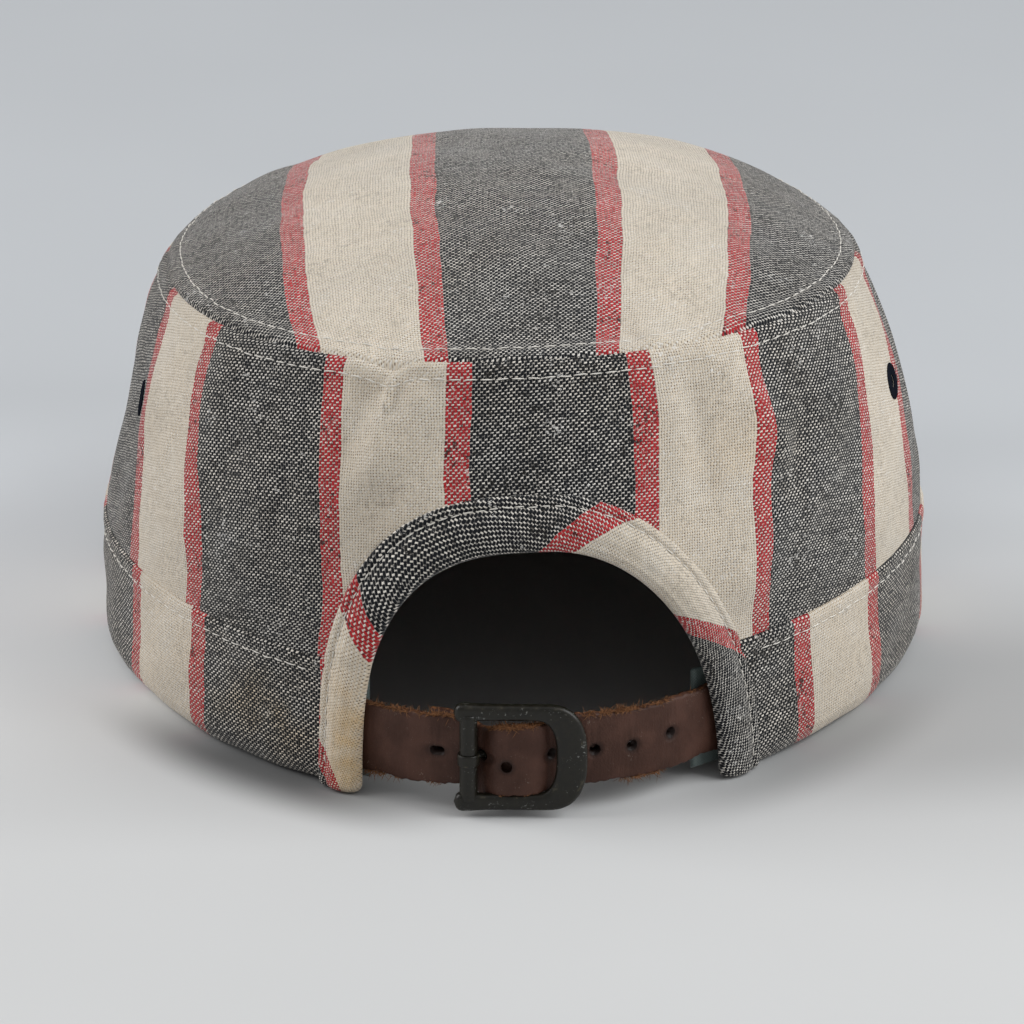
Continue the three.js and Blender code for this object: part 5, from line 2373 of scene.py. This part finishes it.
def rounded_line(stations: Array, steps: int = 24) -> Array:
    """Centripetal Catmull-Rom line through stations, as cubic pieces.

    Each piece runs between two stations, and its end slopes weigh the neighbouring spans by the square root
    of their lengths.

    Args:
        stations: Points, (n, 3).
        steps: Samples for each piece.

    Returns:
        Points of the line.
    """
    ends = [2 * stations[:1] - stations[1:2], stations, 2 * stations[-1:] - stations[-2:-1]]
    p = np.concatenate(ends)
    span = np.sqrt(np.linalg.norm(np.diff(p, axis=0), axis=1))[:, None]
    before, here, after = span[:-2], span[1:-1], span[2:]
    a, b, c, d = p[:-3], p[1:-2], p[2:-1], p[3:]
    leave = ((b - a) / before - (c - a) / (before + here) + (c - b) / here) * here
    arrive = ((c - b) / here - (d - b) / (here + after) + (d - c) / after) * here
    t = np.linspace(0.0, 1.0, steps, endpoint=False)[None, :, None]
    b, c, leave, arrive = (part[:, None, :] for part in (b, c, leave, arrive))
    cubic = (2 * t**3 - 3 * t**2 + 1) * b + (t**3 - 2 * t**2 + t) * leave
    cubic = cubic + (3 * t**2 - 2 * t**3) * c + (t**3 - t**2) * arrive
    return np.concatenate([cubic.reshape(-1, 3), stations[-1:]])


@dataclass
class LeatherStrap:
    """Leather strap along a line of stations, with punched holes and raw fibrous edges."""

    name: str
    node: str
    stations: tuple[Station, ...]
    holes: tuple[Hole, ...]
    fibres: tuple[FibrePatch, ...]
    seed: int
    width: float = 15.0
    thickness: float = 1.8
    centre: float = 13.0
    step: float = 0.22
    edge_radius: float = 0.45
    end_round: float = 0.6
    loop: StripLoop = StripLoop(54, 30, 5)
    edge_power: int = 8
    ragged: tuple[Ripple, ...] = (Ripple(0.22, (1.9, 3.1, 5.3)), Ripple(0.25, (11.0, 17.0)))
    cupping: float = 0.35
    uneven: float = 0.12
    uneven_scale: Span = (2.2, 3.0)
    raw_edge: Span = (0.95, 0.995)
    rawness: Span = (0.78, 0.3)
    wear: HoleWear = HoleWear()
    loose: LooseFibre = LooseFibre()
    hole_profile: tuple[Span, ...] = ((-1.0, 0.0), (-1.0, 1.05), (1.5, 0.9), (2.5, 0.06), (2.5, 0.0))
    hole_sides: int = 24
    pin_rise: float = 0.35
    bulge_middle: float = 6.5
    bulge_reach: float = 5.5
    bulge_swell: float = 0.9

    def line(self) -> tuple[Array, Array]:
        """Even points of the strap's middle and its level outward normals.

        Returns:
            Points and normals, (n, 3) each.
        """
        x, off, z = (np.array([getattr(s, key) for s in self.stations]) for key in ("x", "off", "z"))
        degrees = FORM.degrees_at(x, np.full_like(x, self.centre))
        points = FORM.skin(degrees, np.full_like(x, self.centre)) + FORM.flat_normal(degrees) * off[:, None]
        points[:, 2] = z
        rough = rounded_line(points)
        at = np.linspace(0.0, path_lengths(rough)[-1], int(path_lengths(rough)[-1] / self.step))
        even = resample(rough, rough, at)
        normal = np.cross(UP, unit(np.gradient(even, axis=0) * np.array([1.0, 1.0, 0.0])))
        return even, normal * np.sign(normal[:, 1:2])

    def build(self, material: Material) -> Piece:
        """Builds the strap as one closed strip, then punches its holes.

        Args:
            material: Material of the piece.

        Returns:
            The finished piece.
        """
        line, normals = self.line()
        share, side = self.loop.rows(self.edge_radius / self.width)
        run = path_lengths(line)
        across, along = np.broadcast_arrays(share[:, None], run)
        thick = pinch(np.minimum(along, run[-1] - along), self.end_round)
        ragged = sum(ripple.at(along, self.seed) for ripple in self.ragged)
        from_middle = 2 * across - 1
        near_edge = np.abs(from_middle) ** self.edge_power * np.sign(from_middle)
        z = line[:, 2] + self.width * (across - 0.5) + ragged * near_edge
        x = np.broadcast_to(line[:, 0], across.shape)
        face = np.clip(side[:, None], 0.0, 1.0)
        sunk, recess_shade = self.wear.marks(self.holes, x, z)
        bulge = bell(x - self.bulge_middle, self.bulge_reach)
        swell = 1 + self.bulge_swell * bulge * (side[:, None] < 0)
        offset = self.thickness / 2 * side[:, None] * thick * swell - sunk * face
        long, tall = self.uneven_scale
        offset = offset - self.cupping * from_middle**4 + self.uneven * cloth_ripple(along * long, z * tall)
        points = line + normals * offset[..., None]
        points[..., 2] = z
        raw = smoothstep(np.abs(from_middle), *self.raw_edge) * (self.rawness[0] + self.rawness[1] * bulge)
        uv = closed_rows(np.stack([along, z], -1))
        # Painted shade of the lips and creases lies on the face only; the hole walls take theirs when the
        # holes are cut.
        piece = GridMesh(points, uv, True, False, {"raw": raw, "recess_shade": recess_shade * face}).build(self.name)
        self.punch(piece, line, normals)
        return settle(piece, material, Slot.LEATHER, self.node)

    def punch(self, piece: Piece, line: Array, normals: Array) -> None:
        """Cuts the holes with one mesh of round and slotted pins, which rise a little and end in a cone, and
        marks the cut walls for painted shade.

        Args:
            piece: The strap.
            line: Its middle line.
            normals: Its normals.
        """
        angle = ring_angles(self.hole_sides)
        pins = []
        for hole in self.holes:
            place = at_plan_x(line, line, hole.x)
            place[2] = hole.z
            normal = unit(at_plan_x(line, normals, hole.x))
            half = max(hole.length - hole.diameter, 0.0) / 2
            flat = hole.diameter / 2 * np.cos(angle) + half * np.sign(np.cos(angle))
            ring = flat * np.cross(UP, normal) + hole.diameter / 2 * np.sin(angle) * UP
            face = place + normal * self.thickness / 2
            pins.append(pin_rings(face, ring, unit(UP * self.pin_rise - normal), self.hole_profile))
        # Points of the cut take the mark of painted shade for the hole walls.
        cut_out(piece, write_tubes(self.name + "_pins", np.stack(pins)), "recess_shade")

    def build_fibres(self, material: Material) -> Piece:
        """Builds the loose fibres of the raw edges as thin curled tubes in tufts.

        Args:
            material: Material of the piece.

        Returns:
            The finished piece.
        """
        draw = np.random.default_rng(self.seed)
        line, normals = self.line()
        half = self.width / 2
        rings = [self.loose.rings(patch, line, normals, half, draw) for patch in self.fibres]
        piece = write_tubes(self.name + "_fibres", np.concatenate(rings))
        return settle(piece, material, Slot.LEATHER)


@dataclass
class Buckle:
    """D-shaped frame with its bar, and the prong's knuckle and tongue. X is the wearer's right, Z out."""

    x: float = 5.3
    z: float = 13.05
    width: float = 26.9
    height: float = 22.8
    thickness: float = 2.6
    stand: float = 2.0
    toe: float = 6.2
    arm: float = 3.4
    toe_reach: float = 8.5
    window_reach: float = 4.6
    toe_square: float = 2.6
    ear_radius: float = 1.8
    ear_length: float = 3.2
    ear_swell: float = 0.16
    bar_radius: float = 1.8
    bar_inset: float = 3.0
    knuckle_radius: float = 2.25
    knuckle_length: float = 2.4
    knuckle_rise: float = -0.45
    outline_steps: tuple[int, int] = (34, 64)
    section_sides: int = 32
    section_powers: Span = (0.72, 0.75)
    edge_wear: Span = (0.7, 0.55)
    bar_wear: float = 0.15
    bar_round: float = 0.4
    bar_steps: int = 40
    bar_sides: int = 28
    knuckle_sides: tuple[int, int] = (20, 40)
    knuckle_powers: Span = (0.5, 0.6)
    knuckle_wear: tuple[float, float, float] = (0.25, 0.5, 0.5)
    tongue_wear: float = 0.1
    tongue_round: float = 0.6
    tongue_steps: int = 10
    tongue_sides: int = 12
    tongue_radius: float = 0.7
    tongue_along: Numbers = (9.2, 7.4, 5.4, -0.6)
    tongue_depth: Numbers = (-1.5, -2.7, -3.9, -4.3)

    def to_crown(self, local: Array) -> Array:
        """Points from the buckle's own axes to the crown's.

        Args:
            local: Points on the buckle's axes.

        Returns:
            The same points on the crown's axes.
        """
        degrees = FORM.degrees_at(np.array([self.x]), np.array([self.z]))
        normal = FORM.flat_normal(degrees)[0]
        origin = FORM.skin(degrees, np.array([self.z]))[0] + normal * self.stand
        side = unit(np.cross(UP, normal))
        return origin + local @ np.stack([side, np.cross(normal, side), normal])

    def outline(self, right: float, half: float, reach: float) -> Array:
        """Three sides of a D: along the top, round the bowed toe, and back along the bottom.

        The toe is half a superellipse of squareness n: reach cos^(2/n) across and half sin^(2/n) up.

        Args:
            right: Furthest point of the toe.
            half: Half of the height.
            reach: Length of the rounded stretch.

        Returns:
            Points of the outline, (n, 2).
        """
        straight, bowed = self.outline_steps
        turn = np.linspace(np.pi / 2, -np.pi / 2, bowed)
        across = right - reach + reach * np.maximum(np.cos(turn), 0.0) ** (2 / self.toe_square)
        toe = np.stack([across, half * signed_power(np.sin(turn), 2 / self.toe_square)], -1)
        top = np.linspace([-self.width / 2, half], toe[0], straight)[:-1]
        return np.concatenate([top, toe, top[::-1] * np.array([1.0, -1.0])])

    def build_frame(self, material: Material) -> Piece:
        """Builds the D as a rounded section carried between its inner and outer outlines.

        Args:
            material: Material of the piece.

        Returns:
            The finished piece.
        """
        outer = self.outline(self.width / 2, self.height / 2, self.toe_reach)
        inner = self.outline(self.width / 2 - self.toe, self.height / 2 - self.arm, self.window_reach)
        angle = ring_angles(self.section_sides)
        across = 0.5 + 0.5 * signed_power(np.cos(angle), self.section_powers[0])
        depth = self.thickness / 2 * signed_power(np.sin(angle), self.section_powers[1])
        from_end = outer[:, 0] + self.width / 2
        thick = pinch(from_end, self.ear_radius)
        ear = 1 + self.ear_swell * bell(from_end - self.ear_radius, self.ear_length)
        share = 0.5 + (across - 0.5) * thick * ear
        plane = inner + (outer - inner) * share[..., None]
        local = np.concatenate([plane, (depth * thick * ear)[..., None]], axis=-1)
        worn, spread = self.edge_wear
        edge = worn * bell(np.abs(np.sin(2 * angle)) - 1, spread) * np.ones_like(share)
        grid = GridMesh(self.to_crown(local), closed_rows(plane), True, False, {"edge": edge})
        return settle(grid.build("buckle_frame_metal"), material, Slot.METAL, "buckle_frame")

    def bar_along(self) -> float:
        """Place of the bar along the buckle."""
        return -(self.width / 2 - self.bar_inset)

    def rod(self, line: Array, upright: Array, radius: Array, sides: int, wear: float) -> GridMesh:
        """Round rod along a line on the buckle's axes, worn evenly.

        Args:
            line: Centre line, (rings, 3).
            upright: Direction that stays upright on the rod.
            radius: Radius at each ring.
            sides: Points on each ring.
            wear: Value of its edge mark.

        Returns:
            Its grid on the crown's axes.
        """
        rings = sweep(line, np.broadcast_to(upright, line.shape), radius, sides)
        marks = {"edge": np.full(rings.shape[:2], wear)}
        return GridMesh(self.to_crown(rings), np.zeros((len(line), sides + 1, 2)), False, True, marks)

    def build_bar(self, material: Material) -> Piece:
        """Builds the round bar between the ears.

        Args:
            material: Material of the piece.

        Returns:
            The finished piece.
        """
        reach = self.height / 2 - self.arm / 2
        y = np.linspace(-reach, reach, self.bar_steps)
        line = np.stack([np.full_like(y, self.bar_along()), y, np.zeros_like(y)], -1)
        radius = self.bar_radius * pinch(reach - np.abs(y), self.bar_round)
        bar = self.rod(line, UP, radius, self.bar_sides, self.bar_wear)
        return settle(bar.build("buckle_bar_metal"), material, Slot.METAL)

    def build_prong(self, material: Material) -> Piece:
        """Builds the knuckle as a rounded ring round the bar, and the tongue behind the strap.

        Args:
            material: Material of the piece.

        Returns:
            The tongue, the last piece made.
        """
        around, along = self.knuckle_sides
        angle, turn = ring_angles(around), ring_angles(along)[:, 0]
        wall = (self.knuckle_radius - self.bar_radius) / 2
        radius = self.bar_radius + wall + wall * signed_power(np.cos(angle), self.knuckle_powers[0])
        y = self.knuckle_length / 2 * signed_power(np.sin(angle), self.knuckle_powers[1]) * np.ones_like(turn)
        y = y + self.knuckle_rise
        local = np.stack([self.bar_along() + radius * np.cos(turn), y, radius * np.sin(turn)], -1)
        plain, worn, spread = self.knuckle_wear
        edge = plain + worn * bell(np.abs(np.sin(2 * angle)) - 1, spread) * np.ones_like(turn)
        uv = np.zeros((around + 1, along + 1, 2))
        ring = GridMesh(self.to_crown(local), uv, True, True, {"edge": edge}).build("buckle_prong_metal")
        settle(ring, material, Slot.METAL, "buckle_prong")
        rise = np.full(len(self.tongue_along), self.knuckle_rise)
        corners = np.stack([-np.array(self.tongue_along), rise, self.tongue_depth], -1)
        line = rounded_line(corners, self.tongue_steps)
        from_end = np.minimum(path_lengths(line), path_lengths(line[::-1])[::-1])
        size = self.tongue_radius * pinch(from_end, self.tongue_round)
        tongue = self.rod(line, np.array([0.0, 1.0, 0.0]), size, self.tongue_sides, self.tongue_wear)
        return settle(tongue.build("buckle_tongue_metal"), material, Slot.METAL)


@dataclass
class Eyelet:
    """Sewn vent eyelet: a ring of dark thread laid radially round a hole in the wall."""

    name: str
    degrees: float
    height: float
    outer: float = 7.8
    hole: float = 2.6
    rise: float = 0.28
    threads: int = 34
    thread_steps: int = 6
    section_sides: int = 14
    rib: float = 0.13
    unround: float = 0.05
    lift: float = 0.15
    pin_sides: int = 24
    pin_profile: tuple[Span, ...] = ((-5.0, 0.0), (-5.0, 1.0), (4.0, 1.0), (4.0, 0.0))

    def seat(self, wall: CrownWall) -> tuple[Array, Array, Array, Array]:
        """Middle, side, up and normal of the plane through four points of the wall.

        Args:
            wall: Wall that carries it.

        Returns:
            A point and three directions.
        """
        reach = self.outer / 2
        turn = reach / MM_PER_DEGREE
        degrees = self.degrees + np.array([0.0, turn, -turn, 0.0, 0.0])
        height = self.height + np.array([0.0, 0.0, 0.0, reach, -reach])
        middle, left, right, upper, lower = wall.place(degrees, height, 0.0)
        normal = unit(np.cross(upper - lower, left - right))
        side = unit(np.cross(UP, normal))
        return middle, side, np.cross(normal, side), normal

    def pin(self, wall: CrownWall) -> Array:
        """Rings of a round pin through the wall, which cuts the eyelet's hole.

        Args:
            wall: Wall that carries it.

        Returns:
            Ring points, (rings, sides, 3).
        """
        middle, side, up, normal = self.seat(wall)
        angle = ring_angles(self.pin_sides)
        ring = self.hole / 2 * (np.cos(angle) * side + np.sin(angle) * up)
        return pin_rings(middle, ring, normal, self.pin_profile)

    def build(self, wall: CrownWall, material: Material) -> Piece:
        """Builds the ring on the wall, ribbed by its threads.

        Args:
            wall: Wall that carries it.
            material: Material of the piece.

        Returns:
            The finished piece.
        """
        middle, side, up, normal = self.seat(wall)
        around = np.linspace(0.0, 2 * np.pi, self.threads * self.thread_steps + 1)
        section = ring_angles(self.section_sides)
        half = (self.outer - self.hole) / 4
        rib = 1 + self.rib * np.cos(self.threads * around) + self.unround * np.sin(3 * around)
        radius = self.hole / 2 + half + half * np.cos(section) * np.ones_like(around)
        lift = self.lift + self.rise * np.sin(section) * rib
        flat = radius[..., None] * (np.cos(around)[..., None] * side + np.sin(around)[..., None] * up)
        points = middle + flat + lift[..., None] * normal
        uv = closed_rows(np.stack([radius, lift], -1))
        grid = GridMesh(points[:, :-1], uv, True, True)
        return settle(grid.build(self.name + "_thread"), material, Slot.EYELET, self.name)


TAB = LeatherStrap(
    name="buckle_tab_leather",
    node="buckle_tab",
    stations=(
        Station(43.0, -2.75, 11.6),
        Station(36.0, -2.75, 11.9),
        Station(29.0, -1.2, 12.3),
        Station(22.0, -0.2, 12.8),
        Station(16.2, -0.1, 13.2),
    ),
    holes=(Hole(21.6, 12.6, 1.9, 3.2),),
    fibres=(
        FibrePatch(18.5, 37.0, True, 800, 0.48),
        FibrePatch(30.0, 36.0, False, 220, 0.55),
        FibrePatch(17.0, 30.0, False, 120, 0.35),
    ),
    seed=11,
)
PUNCHED = LeatherStrap(
    name="punched_strap_leather",
    node="punched_strap",
    stations=(
        Station(-43.0, -2.75, 13.0),
        Station(-36.0, -2.75, 13.0),
        Station(-28.0, -1.2, 13.0),
        Station(-20.0, -0.1, 13.0),
        Station(-9.0, -0.3, 13.1),
        Station(-2.6, -0.9, 13.1),
        Station(-0.5, 0.1, 12.8),
        Station(1.2, 1.5, 12.6),
        Station(3.8, 2.5, 12.5),
        Station(6.6, 2.8, 12.4),
        Station(9.4, 2.3, 12.2),
        Station(11.6, 0.9, 11.4),
        Station(13.0, -0.8, 10.8),
        Station(14.4, -2.1, 10.9),
        Station(17.5, -2.5, 12.4),
        Station(24.0, -2.6, 13.0),
    ),
    holes=(
        Hole(-25.2, 13.3),
        Hole(-17.2, 12.6),
        Hole(-9.6, 12.8),
        Hole(-0.4, 13.0),
        Hole(8.2, 11.2),
        Hole(12.3, 12.6, 2.3, 3.0),
    ),
    fibres=(
        FibrePatch(2.0, 11.0, True, 1500, 0.42),
        FibrePatch(-9.5, -6.5, True, 160, 0.45),
        FibrePatch(-22.0, -11.0, True, 620, 0.5),
        FibrePatch(-32.0, -22.0, True, 140, 0.4),
        FibrePatch(-23.0, -14.0, False, 360, 0.55),
        FibrePatch(2.5, 11.0, False, 90, 0.3),
    ),
    seed=23,
)
EYELETS = (Eyelet("eyelet_left", 78.5, 61.4), Eyelet("eyelet_right", -73.0, 63.5))


# Stage


@dataclass(frozen=True)
class Lamp:
    """Square soft light: degrees round the cap and above the floor, metres away and wide, watts, colour."""

    name: str
    azimuth: float
    elevation: float
    away: float
    size: float
    energy: float
    colour: tuple[float, float, float] = (1.0, 1.0, 1.0)


@dataclass
class Stage:
    """Pale floor with a rising back, soft lights, and the camera at the photograph's angle."""

    azimuth: float = 176.0
    elevation: float = 21.4
    distance: float = 1500.0
    target_height: float = 25.5
    lens: float = 247.1
    floor_half: float = 3.0
    floor_rows: int = 90
    sweep_start: float = 1.2
    sweep_size: float = 1.6
    lamps: tuple[Lamp, ...] = (
        Lamp("top", 190.0, 80.0, 1.5, 1.4, 1.6),
        Lamp("right", 250.0, 38.0, 1.4, 1.1, 15.5, (0.975, 0.992, 1.0)),
        Lamp("left", 84.0, 33.0, 1.4, 1.0, 11.5),
    )
    sky: Colour = (0.90, 0.91, 0.93, 1.0)
    sky_strength: float = 0.41

    def direction(self, azimuth: float, elevation: float) -> Vector:
        """Unit vector from the object toward a view."""
        a, e = math.radians(azimuth), math.radians(elevation)
        return Vector((math.sin(a) * math.cos(e), -math.cos(a) * math.cos(e), math.sin(e)))

    def build(self, groups: Groups) -> None:
        """Makes the floor, the lights, the sky and the camera.

        Args:
            groups: Shared node groups.
        """
        self.add_floor(PaleFloor("pale_floor").material(groups))
        for lamp in self.lamps:
            self.add_light(lamp)
        world = bpy.data.worlds.new("studio")
        world.use_nodes = True
        light = world.node_tree.nodes["Background"]
        light.inputs["Color"].default_value = self.sky
        light.inputs["Strength"].default_value = self.sky_strength
        bpy.context.scene.world = world
        bpy.context.scene.view_settings.view_transform = "Standard"
        self.add_camera()

    def add_floor(self, material: Material) -> None:
        """Floor that is level under the cap and sweeps up far behind it: height = (beyond / sweep size)^2.

        Args:
            material: Material of the floor.
        """
        run = np.linspace(self.floor_half, -self.floor_half, self.floor_rows)
        beyond = np.maximum(-run - self.sweep_start, 0.0)
        across = np.linspace(-self.floor_half, self.floor_half, 3)
        y, x = np.meshgrid(run, across, indexing="ij")
        z = np.broadcast_to((beyond / self.sweep_size)[:, None] ** 2, y.shape)
        rows, columns = y.shape
        r, c = np.meshgrid(np.arange(rows - 1), np.arange(columns - 1), indexing="ij")
        first = r * columns + c
        faces = np.stack([first, first + columns, first + columns + 1, first + 1], -1).reshape(-1, 4)
        mesh = bpy.data.meshes.new("floor")
        mesh.from_pydata(np.stack([x, y, z], -1).reshape(-1, 3).tolist(), [], faces.tolist())
        mesh.shade_smooth()
        mesh.materials.append(material)
        floor = bpy.data.objects.new("floor", mesh)
        bpy.context.scene.collection.objects.link(floor)

    def add_light(self, lamp: Lamp) -> None:
        """Adds one lamp, turned to face the cap.

        Args:
            lamp: Light to add.
        """
        source = bpy.data.lights.new(lamp.name, "AREA")
        source.size = lamp.size
        source.energy = lamp.energy
        source.color = lamp.colour
        self.aim(source, Vector(), self.direction(lamp.azimuth, lamp.elevation), lamp.away)

    @staticmethod
    def aim(source: bpy.types.ID, target: Vector, heading: Vector, away: float) -> Piece:
        """Links a light or camera that looks at a target from a heading, some metres away.

        Args:
            source: Light or camera.
            target: Place looked at.
            heading: Direction from it.
            away: Metres.

        Returns:
            The linked object.
        """
        looker = bpy.data.objects.new(source.name, source)
        looker.location = target + heading * away
        looker.rotation_euler = (-heading).to_track_quat("-Z", "Y").to_euler()
        bpy.context.scene.collection.objects.link(looker)
        return looker

    def add_camera(self) -> None:
        """Camera on the photograph's line of sight, aimed at the crown's axis."""
        lens = bpy.data.cameras.new("camera")
        lens.lens = self.lens
        target = Vector((CROWN_AXIS + UP * self.target_height) * METRES)
        heading = self.direction(self.azimuth, self.elevation)
        bpy.context.scene.camera = self.aim(lens, target, heading, self.distance * METRES)


def sew(
    wall: CrownWall, top: CrownTop, band: Headband, binding: OpeningBinding, peak: Peak
) -> dict[str, Array]:
    """Rings of every stitch row, by piece name.

    Args:
        wall: Wall.
        top: Top panel.
        band: Band.
        binding: Binding of the arch.
        peak: Peak.

    Returns:
        Ring points of each row, (stitches, rings, sides, 3).
    """
    stitch = TopStitch()
    fine = TopStitch(length=2.2, pitch=2.6)
    rows = {
        "top_stitches": stitch.rings_along(*top.stitch_line()),
        "wall_stitches": stitch.rings_along(*wall.stitch_line(), wall.stitch_start),
        "band_stitches": stitch.rings_along(*band.stitch_line()),
        "binding_stitches": fine.rings_along(*binding.stitch_line()),
    }
    peak_rows = [stitch.rings_along(*peak.stitch_line(inset)) for inset in peak.stitch_insets]
    rows["peak_stitches"] = np.concatenate(peak_rows)
    return rows


def main() -> None:
    logging.basicConfig(level=logging.INFO, format="%(message)s")
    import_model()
    groups = Groups()
    Stage().build(groups)

    cloth = StripedCloth("striped_cloth").material(groups)
    leather = StrapLeather("strap_leather").material(groups)
    fibre = RAW_FIBRE.material(groups)
    metal = DarkMetal("dark_metal").material(groups)
    thread = Strands("off_white_thread").material(groups)

    wall, top, band = CrownWall(), CrownTop(), Headband()
    binding, peak, buckle = OpeningBinding(), Peak(), Buckle()
    shell = wall.build(cloth)
    cut_out(shell, write_tubes("eyelet_pins", np.stack([eyelet.pin(wall) for eyelet in EYELETS])))
    for piece in (top, band, binding, peak):
        piece.build(cloth)
    Sweatband().build(SatinTape("satin_tape").material(groups))
    for strap in (TAB, PUNCHED):
        strap.build(leather)
        strap.build_fibres(fibre)
    for build in (buckle.build_frame, buckle.build_bar, buckle.build_prong):
        build(metal)
    navy = DARK_THREAD.material(groups)
    for eyelet in EYELETS:
        eyelet.build(wall, navy)
    for name, rings in sew(wall, top, band, binding, peak).items():
        settle(write_tubes(name, rings), thread, Slot.CLOTH)


if __name__ == "__main__":
    main()
